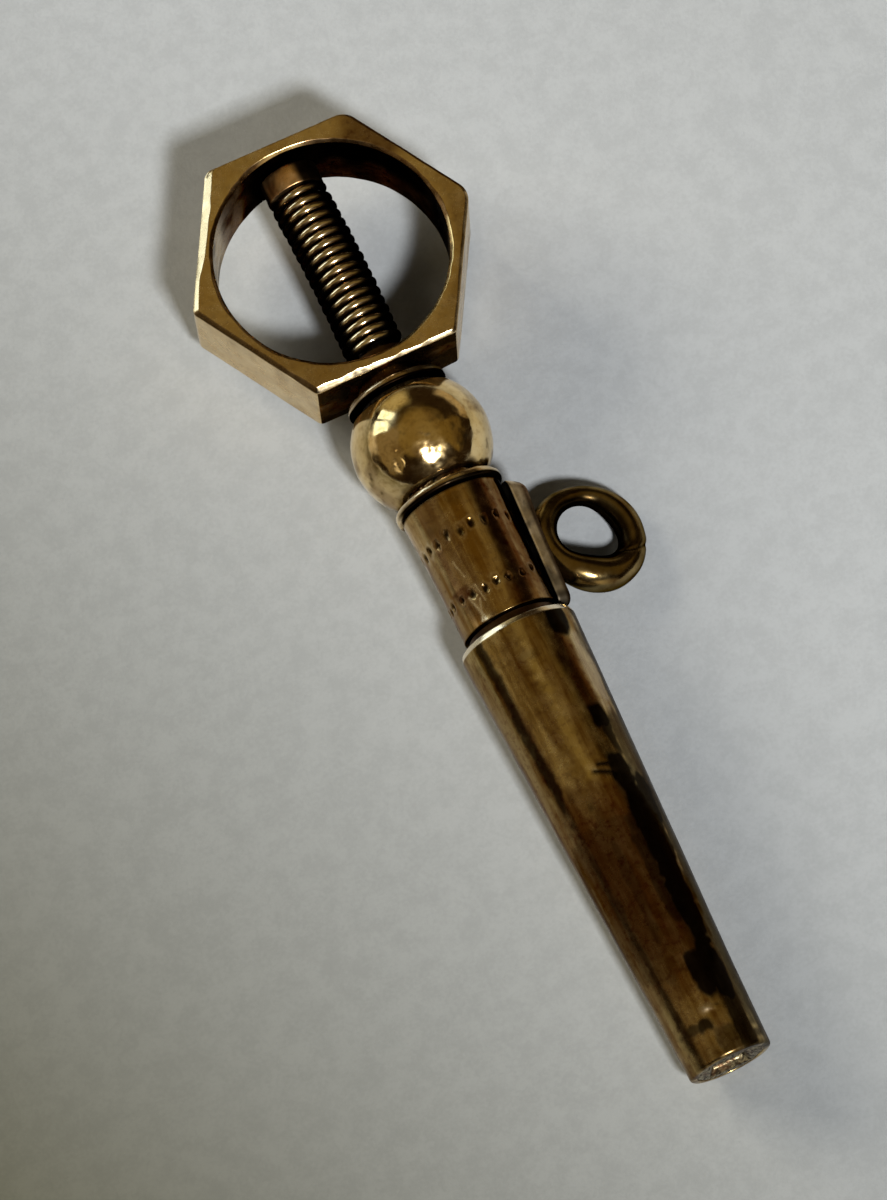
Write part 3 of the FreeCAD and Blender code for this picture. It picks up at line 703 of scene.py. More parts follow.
def dot_distance(points, dot):
    """How far each point is from a dot's middle, as a share of the dot's size."""
    station, angle, size = dot[:3]
    far = np.hypot(across(points, angle) * 1.15, (points[..., 1] - station) * 0.85)
    return far / size * (1 + 0.3 * noise(points, 0.16, 48))


def sleeve_relief(points):
    rise = lumpy(points, (0.008, 2.6, 41), (0.003, 0.7, 42), (0.007, HAMMERING, 43))
    for dot in sleeve_dots():
        far = dot_distance(points, dot)
        rise = rise - dot[3] * np.exp(-(far / 0.62) ** 4) + 0.005 * near(far, 1.05, 0.28)
    return np.where(radius_of(points) < SLEEVE_WAIST - 0.1, 0.0, rise)


def make_sleeve():
    low, high = sleeve_lo[1], sleeve_hi[1]
    flare = -sleeve_lo[0]
    piece = turned("sleeve_tube", [
        (SLEEVE_BORE, low, 0.04, 3),
        (SLEEVE_WAIST + SLEEVE_STEP, low, 0.06, 3),
        (SLEEVE_WAIST, low + SLEEVE_LIP, 0.10, 62),
        (SLEEVE_WAIST, low + SLEEVE_FLARE_START, 1.2, 42),
        (flare, high - SLEEVE_STEP, 0.02, 1),
        (flare - SLEEVE_STEP, high, 0.02, 3),
        (SLEEVE_BORE, high, 0.04, 12),
    ], SLEEVE_AROUND, sleeve_relief)
    points = points_of(piece)
    far = [dot_distance(points, dot) for dot in sleeve_dots()]
    # Painted shade: the dots' hollows and both ends of the tube, where it meets the barrel and the flange,
    # are painted dark, and a painted highlight rings each dot. The scratches are wear.
    shaded_hollows = [0.95 * np.exp(-(share / 0.70) ** 4) for share in far]
    highlit_crest = top(*[near(share, 1.15, 0.22) for share in far])
    ends = top(rise_to(points[:, 1], high - 0.16, high - 0.02), rise_to(low + 0.06 - points[:, 1], 0, 0.06))
    grime = top(0.25 * rise_to(noise(points, 0.9, 45), 0.4, 0.9), 0.8 * ends,
                patches(points, SLEEVE_PAINTED_SHADE, 47), *shaded_hollows)
    cuts = top(*[scratch(points, *cut) for cut in SLEEVE_SCRATCHES])
    paint(piece, grime=grime * (1 - 0.8 * cuts), worn=top(0.25 * highlit_crest, 0.9 * cuts),
          tarnish=patches(points, SLEEVE_TARNISH_AND_SHADE, 49, 0.20) * (1 - cuts))
    look = gold("old_gold_sleeve", tone=(0.64, 0.45, 0.20), stain=(0.32, 0.16, 0.022), share=0.95,
                streak=(1.7, 0.16, 1.7), fleck=0.4, **TUBE_GRAIN)
    finish(piece, look, "sleeve", "sleeve_gold", "swivel_sleeve")


# Strap and chain ring, which hang below level. The strap leans out with the sleeve's flare.

chain_eye = next(m for m in frame["record"]["mounts"] if m["name"] == "chain_eye")
eye_centre = np.array(chain_eye["pos_m"]) / MM
eye_axis = unit(np.array(chain_eye["axis"]))
eye_out = unit(eye_centre * np.array((1, 0, 1)))

PLATE_WIDTH = 3.1
PLATE_LENGTH = 6.88
PLATE_THICKNESS = 0.73
PLATE_INNER = 2.05
PLATE_DROP = 0.30
PLATE_TILT = math.radians(3.2)
PLATE_CORNER = 0.60
PLATE_SOFT = 0.20
PLATE_OVERLAP = 0.01
PLATE_SHOULDER = 0.45
PLATE_SWELL = 0.16
PLATE_FOOT = eye_out * PLATE_INNER + ALONG * (sleeve_lo[1] - PLATE_DROP)
PLATE_AHEAD = math.cos(PLATE_TILT) * ALONG + math.sin(PLATE_TILT) * eye_out
PLATE_OUTWARD = math.cos(PLATE_TILT) * eye_out - math.sin(PLATE_TILT) * ALONG


def plate_row(inset, height, hollow=False):
    """One loop of the strap: its outline drawn in by inset, at a height over its inner
    face, or lifted clear of the sleeve's round if hollow."""
    low, high, wide = inset, PLATE_LENGTH - inset, PLATE_WIDTH / 2 - inset
    rim = soften([(low, -wide), (high, -wide), (high, wide), (low, wide)],
                 [max(PLATE_CORNER - inset, 0.02)] * 4, [46, 16, 46, 16], bend=12)
    near_top = rise_to(rim[:, 0], PLATE_LENGTH - 1.4, PLATE_LENGTH)
    rim[:, 0] -= PLATE_SHOULDER * near_top * (height / PLATE_THICKNESS) ** 2
    flat = PLATE_FOOT + rim[:, :1] * PLATE_AHEAD + rim[:, 1:] * eye_axis
    rise = np.full(len(rim), float(height))
    if hollow:
        round_here = np.interp(flat[:, 1], (sleeve_lo[1] + SLEEVE_FLARE_START, sleeve_hi[1]),
                               (SLEEVE_WAIST, -sleeve_lo[0])) - PLATE_OVERLAP
        clear = np.sqrt(np.maximum(round_here ** 2 - rim[:, 1] ** 2, 0))
        rise = np.maximum(rise, (clear - flat @ eye_out) / math.cos(PLATE_TILT))
    return flat + rise[:, None] * PLATE_OUTWARD


def make_plate():
    rows = [plate_row(inset, PLATE_THICKNESS) for inset in (1.45, 1.2, 0.9, 0.65, 0.45, 0.32, 0.25)]
    rows += [plate_row(PLATE_SOFT * (1 - math.sin(turn)),
                       PLATE_THICKNESS - PLATE_SOFT * (1 - math.cos(turn)))
             for turn in np.linspace(0, TURN / 4, 7)]
    rows += [plate_row(0, height) for height in (0.44, 0.35, 0.25, 0.15, 0.05)]
    rows += [plate_row(inset, 0, True) for inset in (0.03, 0.15, 0.3, 0.45, 0.6, 0.8, 1.0, 1.25, 1.45)]
    loops = np.array(rows)
    outer_face = rise_to((loops - PLATE_FOOT) @ PLATE_OUTWARD, 0.2, PLATE_THICKNESS)
    swell = PLATE_SWELL * outer_face * rise_to(loops[..., 1], 26.5, 29.5)
    loops = loops + (0.012 * noise(loops, 1.1, 51) + swell)[..., None] * PLATE_OUTWARD
    piece = skin("chain_strap", loops, wrap=False)
    points = points_of(piece)
    station = points[:, 1]
    over = points @ eye_out - math.tan(PLATE_TILT) * (station - PLATE_FOOT[1]) - PLATE_INNER
    # Painted shade and highlight: the strap is painted dark along its outer side below the top, towards and
    # at its lower end, and where it meets the sleeve, and painted lighter over the rest of its face, where
    # light falls. The blotches are its own.
    edge = rise_to(over, 0.42, 0.60)
    grime = top(
        0.75 * rise_to(noise(points, 0.5, 53) + (26 - station) / 3, 0.1, 0.9),
        0.9 * rise_to(sleeve_lo[1] + 0.7 - station, 0.0, 0.6),
        1 - rise_to(over, 0.0, 0.06),
        0.6 * rise_to(lumpy(points, (1, 0.45, 59), (0.5, 0.18, 60)), -0.1, 0.9),
        0.7 * edge * (1 - rise_to(station, 28.3, 29.5)))
    paint(piece, grime=grime, tarnish=0.8 * edge, worn=0.5 * (1 - edge))
    look = gold("old_gold_strap", tone=(0.82, 0.66, 0.44), stain=(0.60, 0.43, 0.22),
                rough=(0.32, 0.46), grain_depth=0.004)
    finish(piece, look, "sleeve", "sleeve_gold", "bail_plate")


# The ring was bent by hand, so its radius and its wire swell in waves round it. A wave is
# (how many round the ring, cosine share, sine share), from the side next to the tip.

RING_RADIUS = 2.137
RING_BENDS = [(2, -0.009, 0.089), (3, 0.006, 0.027)]
RING_WIRE = 0.685
RING_SWELLS = [(1, 0.155, -0.012), (2, 0.0, -0.024), (3, 0.045, -0.034)]
RING_SHIFT = 0.024
RING_STEPS = 320
RING_SIDES = 44
JOINT_MIDDLE = 43.0
JOINT_SLANT = 17.0


def waves(turn, table):
    return sum(c * np.cos(n * turn) + s * np.sin(n * turn) for n, c, s in table)


def make_ring():
    turn = ring_of(RING_STEPS)
    out, up = np.cos(ring_of(RING_SIDES)), np.sin(ring_of(RING_SIDES))
    heading = np.sin(turn)[:, None] * eye_out - np.cos(turn)[:, None] * ALONG
    radius = (RING_RADIUS + waves(turn, RING_BENDS))[:, None]
    gap = angle_gap(np.degrees(turn)[:, None], JOINT_MIDDLE + JOINT_SLANT * out)
    from_joint = np.radians(gap) * radius
    groove = near(from_joint, 0, 0.085 + 0.035 * out)
    wire = (RING_WIRE + waves(turn, RING_SWELLS))[:, None]
    wire = wire - 0.05 * groove + 0.015 * near(from_joint, 0.28, 0.22)
    centres = (eye_centre + eye_out * RING_SHIFT + heading * radius)[:, None]
    loops = centres + heading[:, None] * (wire * out)[..., None] + eye_axis * (wire * up)[..., None]
    swell = lumpy(loops, (0.012, 0.9, 55), (0.004, 0.35, 56))
    loops = loops + unit(loops - centres) * swell[..., None]
    piece = skin("chain_ring", loops)
    # Painted shade: the inner side of the wire, round the ring's hole, is painted dark, and its outermost
    # rim is darkened where it would mirror lighter paper. The dark joint, the blotches and the solder at
    # the strap are its own colour.
    seat = rise_to(PLATE_INNER + PLATE_THICKNESS + 0.6 - loops @ eye_out, 0.0, 0.5)
    grime = top(0.95 * groove, 0.95 * rise_to(-out, -0.05, 0.6), 0.6 * rise_to(out, 0.72, 0.95),
                0.30 + 0.35 * noise(loops, 0.6, 58), 0.85 * seat)
    paint(piece, grime=grime, tarnish=0.35 + 0.3 * noise(loops, 0.7, 57))
    look = gold("old_gold_ring", tone=(0.60, 0.45, 0.19), stain=(0.34, 0.22, 0.06), share=0.8,
                rough=(0.10, 0.22), grain=2.0, grain_depth=0.004)
    finish(piece, look, "sleeve", "ring_gold", "bail_ring")


# Ball, its flange and the solder between them

BALL_CENTRE = 33.547
BALL_AROUND = 288
BALL_TOP = 2.61
BALL_FOOT = 1.95
BALL_WALL = 0.45
BALL_DENTS = [
    (32.2, -35, 0.42, 0.42, 0.040),
    (31.7, -22, 0.30, 0.30, 0.030),
    (33.2, -38, 0.50, 0.50, 0.030),
    (32.1, -3, 0.75, 0.75, 0.050),
    (34.4, 62, 0.55, 0.55, 0.030),
    (33.0, 150, 0.60, 0.60, 0.045),
    (34.0, -130, 0.50, 0.50, 0.040),
    (32.4, -95, 0.45, 0.45, 0.030),
    (32.8, 95, 0.45, 0.45, 0.035),
]


def ball_relief(points):
    far = np.hypot(radius_of(points), points[..., 1] - BALL_CENTRE)
    inside = (far < ball_hi[0] - BALL_WALL / 2) | (points[..., 1] > ball_hi[1] - 0.05)
    low = np.clip((34.6 - points[..., 1]) / 1.5, 0, 1)
    rise = 0.008 * noise(points, 1.3, 61) - dents(points, BALL_DENTS)
    rise = rise + low * lumpy(points, (0.012, 0.7, 62), (0.008, 0.36, 63), (0.003, 0.16, 64))
    rise = rise + 0.010 * mark(points, 32.1, -3, 0.7, 0.9) * noise(points, 0.22, 68)
    return np.where(inside, 0.0, rise)


def make_ball():
    radius, core, seat, shelf = ball_hi[0], core_hi[0], crown_hi[0], core_hi[1]
    centre = (0.0, BALL_CENTRE)
    inside = radius - BALL_WALL
    foot_angle = 180 - math.degrees(math.asin(BALL_FOOT / radius))
    top_angle = math.degrees(math.asin(BALL_TOP / radius))
    inner_foot = 180 - math.degrees(math.asin(core / inside))
    inner_top = math.degrees(math.acos((shelf - BALL_CENTRE) / inside))
    piece = turned("ball_shell", [
        (core, ball_lo[1], 0, 1),
        *arc(centre, radius, foot_angle, top_angle + 2, 96),
        (BALL_TOP, ball_hi[1], 0.06, 2),
        (seat, ball_hi[1], 0.04, 3),
        (seat, shelf, 0, 2),
        *arc(centre, inside, inner_top, inner_foot, 20),
    ], BALL_AROUND, ball_relief)
    points = points_of(piece)
    station = points[:, 1]
    foot = 1 - rise_to(station + 0.2 * noise(points, 0.4, 69) - ball_lo[1], 0.25, 0.65)
    spots = rise_to(lumpy(points, (1, 0.45, 65), (0.4, 0.18, 66)), 0.55, 1.0)
    low = rise_to(34.6 - station, 0.0, 1.5)
    cloudy = rise_to(noise(points, 0.7, 67), -0.1, 0.7)
    # Painted shade: the flat top, in the gap under the collar, is painted black. The ball is also darker at
    # its foot, next to the solder.
    paint(piece, tarnish=top(0.6 * cloudy * low, 0.7 * foot),
          grime=top(0.95 * foot * (0.6 + 0.4 * cloudy), 0.5 * spots * low, station > ball_hi[1] - 0.06))
    look = gold("old_gold_ball", stain=(0.72, 0.48, 0.16), share=0.7, streak=0.8,
                rough=(0.07, 0.17), grain=2.2, grain_depth=0.004)
    finish(piece, look, "barrel", "ball_gold", "ball")


def flange_relief(points):
    flat = points * np.array((1, 0, 1))
    wobble = 0.030 * noise(flat, 1.1, 71) + 0.012 * noise(points, 0.4, 72)
    return np.clip((radius_of(points) - 2.2) / 0.4, 0, 1) * wobble


def make_flange():
    radius = flange_hi[0] - 0.02
    low, high = flange_lo[1], flange_hi[1]
    piece = turned("flange_disc", [
        (SPINDLE_RADIUS, low, 0, 8),
        (radius, low, 0.13, 1),
        (radius, high, 0.16, 8),
        (SPINDLE_RADIUS, high, 0, 2),
    ], 240, flange_relief)
    points = points_of(piece)
    station = points[:, 1]
    # Painted shade: the lower edge, but for its left side, is painted black for the shade in the gap over
    # the sleeve, and the face under the solder is painted dark. The line along the upper edge, towards the
    # left, is a painted highlight.
    under = (1 - rise_to(station, low + 0.14, low + 0.22)) * rise_to(angle_of(points), -85, -60)
    line = rise_to(station, high - 0.20, high - 0.12)
    line = line * (1 - rise_to(np.abs(off_angle(points, -35)), 26, 44))
    upper_face = (station > high - 0.06) & (radius_of(points) < radius - 0.12)
    blotch = rise_to(noise(points, (0.9, 9.0, 0.9), 73), -0.1, 0.3)
    paint(piece, grime=top(0.98 * under, 0.8 * upper_face), tarnish=0.75 * blotch * (1 - line),
          worn=0.9 * line)
    look = gold("old_gold_flange", tone=(0.88, 0.68, 0.38), stain=(0.62, 0.40, 0.16),
                rough=(0.12, 0.26))
    finish(piece, look, "barrel", "ball_gold", "ball_flange")


SOLDER_INNER = 1.98
SOLDER_REACH = 2.42
SOLDER_HEIGHT = 0.30


def solder_relief(points):
    open_side = np.clip((radius_of(points) - SOLDER_INNER - 0.1) / 0.2, 0, 1)
    return open_side * lumpy(points, (0.065, 0.5, 81), (0.055, 0.20, 82))


def make_solder():
    floor = flange_hi[1] - 0.03
    piece = turned("solder_seam", [
        (SOLDER_INNER, floor, 0, 4),
        (SOLDER_REACH, floor, 0.08, 6),
        (SOLDER_REACH - 0.10, floor + SOLDER_HEIGHT, 0.10, 3),
        (SOLDER_INNER + 0.1, floor + SOLDER_HEIGHT * 0.6, 0, 2),
    ], 260, solder_relief)
    points = points_of(piece)
    paint(piece, grime=0.40 + 0.9 * noise(points, 0.25, 83),
          tarnish=0.6 + 0.7 * noise(points, 0.5, 84))
    look = gold("solder", tone=(0.62, 0.44, 0.22), stain=(0.36, 0.21, 0.07), rough=(0.2, 0.4),
                grain=3.0, grain_depth=0.006)
    finish(piece, look, "barrel", "ball_gold")


# Collar

COLLAR_NECK = 1.60
COLLAR_EDGE = 0.35
COLLAR_RECESS = 0.40
COLLAR_COVE = 1.32


def cove(outer, low, inner, high, radius, count):
    """Corners on the hollow arc from the collar's rim up to its neck."""
    ends = np.array(((outer, low), (inner, high)))
    chord = ends[1] - ends[0]
    length = np.linalg.norm(chord)
    sideways = np.array((chord[1], -chord[0])) / length
    centre = ends.mean(0) + sideways * math.sqrt(radius ** 2 - length ** 2 / 4)
    first, last = np.degrees(np.arctan2(*(ends - centre).T)) % 360
    return arc(centre, radius, first, last, count)[1:-1]


def collar_relief(points):
    radius = radius_of(points)
    rise = lumpy(points, (0.022, 1.2, 91), (0.012, 0.45, 92))
    rise = rise - dents(points, [(collar_lo[1] + 0.1, -62, 0.4, 0.5, 0.05),
                                 (collar_lo[1] + 0.2, 28, 0.3, 0.4, 0.04)])
    rise = np.clip((radius - COLLAR_NECK) / 0.4, 0, 1) * rise - 0.01
    return np.where(radius < crown_hi[0] + 0.02, 0.0, rise)


def make_collar():
    low, high = collar_lo[1], collar_hi[1]
    rim, bush, crown = collar_hi[0], bush_hi[0], crown_hi[0]
    piece = turned("collar_saucer", [
        (crown, low, 0.04, 4),
        (rim, low, 0.09, 3),
        (rim, low + COLLAR_EDGE, 0.08, 1),
        *cove(rim, low + COLLAR_EDGE, COLLAR_NECK, high, COLLAR_COVE, 20),
        (COLLAR_NECK, high, 0, 3),
        (bush, high, 0, 3),
        (bush, low + COLLAR_RECESS, 0, 4),
        (crown, low + COLLAR_RECESS, 0, 2),
    ], 240, collar_relief)
    points = points_of(piece)
    angle = angle_of(points)
    # Painted shade: the neck under the bow, the underside over the ball and the right side are painted
    # dark. Painted highlights lie on the cove round -31 degrees and on the rim's left side.
    neck = rise_to(points[:, 1], high - 0.3, high - 0.05)
    under = 1 - rise_to(points[:, 1], low + 0.14, low + 0.20)
    spots = rise_to(noise(points, 0.5, 95), 0.2, 0.7)
    grime = top(0.6 * neck, 0.5 * spots, under, 0.85 * rise_to(angle, 0, 30))
    cove_highlight = 1 - rise_to(np.abs(angle + 31), 10, 24)
    edge = (points[:, 1] < low + COLLAR_EDGE) * (1 - rise_to(angle, -66, -48))
    highlight_and_wear = top(cove_highlight, edge) * (1 - neck) * (1 - under)
    paint(piece, grime=grime * (1 - 0.9 * highlight_and_wear), tarnish=0.2 + 0.4 * noise(points, 0.7, 96),
          worn=0.8 * highlight_and_wear)
    look = gold("old_gold_collar", tone=(0.80, 0.60, 0.32), stain=(0.50, 0.30, 0.10),
                rough=(0.14, 0.30))
    finish(piece, look, "bow", "collar_gold", "bow_collar")


# Six-sided bow. Corners and sides are counted from the corner at +X and go round past +Y.
# A side's bevel is (width at its start, width at its end, depth at its start, at its end).

BOW_SIDES = 6
BOW_BORE = 5.70
BORE_BEVEL = 0.16
BOW_EDGE = 0.035
SIDE_POINTS = 46
CORNER_POINTS = 14
BOW_ROUNDING = (1.0, 1.0, 0.5, 0.45, 0.35, 0.35)
BOW_BEVELS = [
    (0.13, 0.13, 0.13, 0.13),
    (0.06, 0.05, 0.06, 0.05),
    (0.27, 0.27, 0.20, 0.20),
    (0.18, 0.18, 0.18, 0.18),
    (0.24, 0.15, 0.175, 0.11),
    (0.14, 0.14, 0.14, 0.14),
]
UNDER_BEVEL = 0.22
# The most worn corner on the underside: its direction, its spread, how much wider its bevel
WORN_CORNER = (300.0, 10.0, 1.6)
LEFT_SWELL = 0.12
# A notch in one side's bevel: the side, its place as a share of the side, its length
NOTCH = (4, 0.48, 0.035)
# How far tarnish and painted shade cover each side's bevel and its wall
BEVEL_TARNISH_AND_SHADE = np.array((0.9, 0.7, 0.0, 0.75, 0.0, 0.6))
WALL_TARNISH_AND_SHADE = np.array((0.3, 0.3, 0.1, 0.18, 0.9, 0.3))
# Shade on the wall of the bow's opening: its middle direction, half width, softness, share
BORE_SHADE = [
    (92, 20, 8, 0.95),
    (-2, 12, 6, 0.85),
    (252, 88, 6, 0.95),
    (58, 22, 10, 0.55),
    (25, 20, 8, 0.45),
    (165, 20, 8, 0.40),
]


def bow_loop(insets):
    """Round the bow, with each side drawn in by its insets at its start and its end."""
    half = (bow_hi[1] - bow_lo[1]) / 2
    facing = [TURN / BOW_SIDES * (side + 0.5) for side in range(BOW_SIDES)]
    normals = np.array([(math.cos(a), math.sin(a)) for a in facing])
    centres, rounding = [], []
    for k in range(BOW_SIDES):
        before, after = insets[k - 1][1], insets[k][0]
        radius = max(BOW_ROUNDING[k] - (before + after) / 2, 0.12)
        reach = np.array((half - before - radius, half - after - radius))
        centres.append(np.linalg.solve(normals[[k - 1, k]], reach))
        rounding.append(radius)
    rows = []
    for k in range(BOW_SIDES):
        ahead = (k + 1) % BOW_SIDES
        for t in np.linspace(-1, 0, CORNER_POINTS):
            a = facing[k] + TURN / BOW_SIDES * t
            rows.append(centres[k] + rounding[k] * np.array((math.cos(a), math.sin(a))))
        start = rows[-1]
        end = centres[ahead] + rounding[ahead] * normals[k]
        rows += [start + (end - start) * t for t in np.linspace(0, 1, SIDE_POINTS + 2)[1:-1]]
    return np.array(rows)


def round_the_bow(starts, ends):
    """A number for each point of a bow loop, from its values at the sides' starts and ends."""
    row = []
    for k in range(BOW_SIDES):
        row += list(np.linspace(ends[k - 1], starts[k], CORNER_POINTS))
        row += list(np.linspace(starts[k], ends[k], SIDE_POINTS + 2)[1:-1])
    return np.array(row)


def make_bow():
    bevels = np.array(BOW_BEVELS)
    high = bow_hi[2]
    swell = np.zeros((BOW_SIDES, 2))
    swell[2, 0] = -LEFT_SWELL
    rim = bow_loop(swell)
    around = np.column_stack([rim, 0 * rim[:, 0]])
    depth = round_the_bow(bevels[:, 2], bevels[:, 3])
    wear = 1 + lumpy(around, (0.22, 1.6, 101), (0.12, 0.5, 102))
    side, share, length = NOTCH
    first = side * (CORNER_POINTS + SIDE_POINTS) + CORNER_POINTS
    notched = slice(first, first + SIDE_POINTS)
    wear[notched] += 0.3 * near(np.arange(SIDE_POINTS) / SIDE_POINTS, share, length)
    wear[notched] += 0.25 * noise(around, 0.45, 109)[notched]
    top_rim = rim + (bow_loop(bevels[:, :2]) - rim) * wear[:, None]
    corner, spread, extra = WORN_CORNER
    off_corner = angle_gap(np.degrees(np.arctan2(rim[:, 1], rim[:, 0])), corner)
    rounded = 1 + extra * near(off_corner, 0, spread)
    under = UNDER_BEVEL * rounded * (1 + 0.22 * noise(around, 1.5, 103))
    under_rim = rim + (bow_loop(np.full((BOW_SIDES, 2), UNDER_BEVEL)) - rim) * rounded[:, None]
    bore_wear = BORE_BEVEL * (1 + lumpy(around, (0.3, 1.8, 104), (0.15, 0.5, 105)))

    def level(flat, z):
        return np.stack([flat[:, 0], flat[:, 1] + BOW_CENTRE, z + 0 * flat[:, 0]], -1)

    bore = unit(rim) * BOW_BORE
    wide_bore = unit(rim) * (BOW_BORE + bore_wear)[:, None]
    corners = [
        level(rim, -high + under), level(rim, high - depth * wear),
        level(top_rim, high), level(wide_bore, high),
        level(bore, high - bore_wear), level(bore, -high + bore_wear),
        level(wide_bore, -high), level(under_rim, -high),
    ]
    loops = soften(corners, [BOW_EDGE] * len(corners), [26, 2, 8, 1, 24, 1, 8, 2], bend=4)
    dish = lumpy(loops, (0.006, 2.4, 106), (0.003, 0.7, 107))
    piece = skin("bow_hexagon", loops + unit(loops - ALONG * BOW_CENTRE) * dish[..., None])
    drill_bush_hole(piece)
    paint_bow(piece)
    look = gold("old_gold_bow", stain=(0.70, 0.46, 0.16), streak=0.7, fleck=0.25,
                rough=(0.18, 0.30), grain=(2.6, 1.2, 2.6))
    finish(piece, look, "bow", "bow_gold", "bow_frame")


def paint_bow(piece):
    points = points_of(piece)
    up = points_of(piece, "normal")[:, 2]
    x, y = points[:, 0], points[:, 1] - BOW_CENTRE
    radius = np.hypot(x, y)
    angle = np.degrees(np.arctan2(y, x)) % 360
    side = np.minimum(angle // (360 / BOW_SIDES), BOW_SIDES - 1).astype(int)
    in_bore = radius < BOW_BORE + 0.02
    flat = np.abs(up) > 0.97
    bevel = ~in_bore & ~flat & (up > 0.25) & (radius > BOW_BORE + 0.25)
    wall = ~in_bore & ~flat & (np.abs(up) <= 0.25)
    lip = ~flat & (radius > BOW_BORE + 0.01) & (radius < BOW_BORE + 0.25) & (up > 0.25)
    clouds = rise_to(noise(points, 0.8, 108), -0.2, 0.8)

    def around(middle, half, soft):
        """1 within half degrees of a direction in the bow's plane, soft at both ends."""
        return 1 - rise_to(np.abs(angle_gap(angle, middle)), half - soft, half + soft)

    # Painted shade on the top face: darkened round 47, 335 and 228 degrees, and on the inner lip but for
    # two places where a highlight falls.
    shaded_patch = 1 - rise_to(np.abs(angle_gap(angle, 47)), 8, 20)
    outer = rise_to(radius, BOW_BORE + 0.2, BOW_BORE + 0.6)
    dim = top(0.40 * outer * around(335, 32, 14), 0.32 * around(228, 34, 16))
    bright_lip = top(around(91, 11, 3), around(-44, 34, 5))
    # The bevels, the wall of side 4 and the far part of the opening's wall take painted shade here, as well
    # as tarnish.
    tarnish = (flat * (0.12 * clouds + 0.85 * shaded_patch + dim) + bevel * BEVEL_TARNISH_AND_SHADE[side]
               + wall * WALL_TARNISH_AND_SHADE[side] * (0.5 + clouds) + in_bore * around(60, 80, 10)
               + lip * 0.85 * (1 - bright_lip))
    shade = 0.92 * rise_to(points[:, 2], -0.8, 0.8) * around(48, 38, 8)
    shade = top(shade, *[share * around(*place) for *place, share in BORE_SHADE])
    # Painted shade: the wall of side 4, under the collar, the opening's wall and the bevels of sides 0 and
    # 3 are painted dark; the clouds in the opening are dirt.
    grime = ((wall & (side == 4)) * (0.80 - 0.75 * clouds) + in_bore * (0.3 * clouds + shade)
             + 0.6 * (bevel & (side == 0)) + 0.35 * (bevel & (side == 3)))
    # Painted highlight: the bevels of sides 2 and 4 are painted lighter.
    worn = 0.45 * (bevel & (side == 4)) + 0.5 * (bevel & (side == 2))
    paint(piece, grime=grime, tarnish=tarnish, worn=worn)


def plain_mesh(name, shape, **settings):
    """A mesh from one of the plain shapes."""
    shell = bmesh.new()
    shape(shell, **settings)
    mesh = bpy.data.meshes.new(name)
    shell.to_mesh(mesh)
    shell.free()
    return mesh


DRILL_DEPTH = 3.0


def drill_bush_hole(piece):
    """Cuts the hole for the bush through the bow's near side."""
    place = Matrix.Translation(Vector((0, bow_lo[1], 0)) * MM) @ Matrix.Rotation(TURN / 4, 4, "X")
    tool = put("drill", plain_mesh(
        "drill", bmesh.ops.create_cone, cap_ends=True, segments=48, radius1=bush_hi[0] * MM,
        radius2=bush_hi[0] * MM, depth=DRILL_DEPTH * MM, matrix=place))
    cut = piece.modifiers.new("bush_hole", "BOOLEAN")
    cut.operation = "DIFFERENCE"
    cut.solver = "EXACT"
    cut.object = tool
    depsgraph = bpy.context.evaluated_depsgraph_get()
    drilled = bpy.data.meshes.new_from_object(piece.evaluated_get(depsgraph))
    piece.modifiers.clear()
    piece.data = drilled
    piece.data.name = "bow_hexagon"
    bpy.data.objects.remove(tool)


# Coil spring and its nut

COIL_TURNS = 18
COIL_WIRE = 0.228
COIL_OUTER = 1.50
COIL_BOW = 0.10
COIL_STEPS = 44
COIL_SIDES = 16
COIL_START = 100.0
COIL_SWAY = 0.022


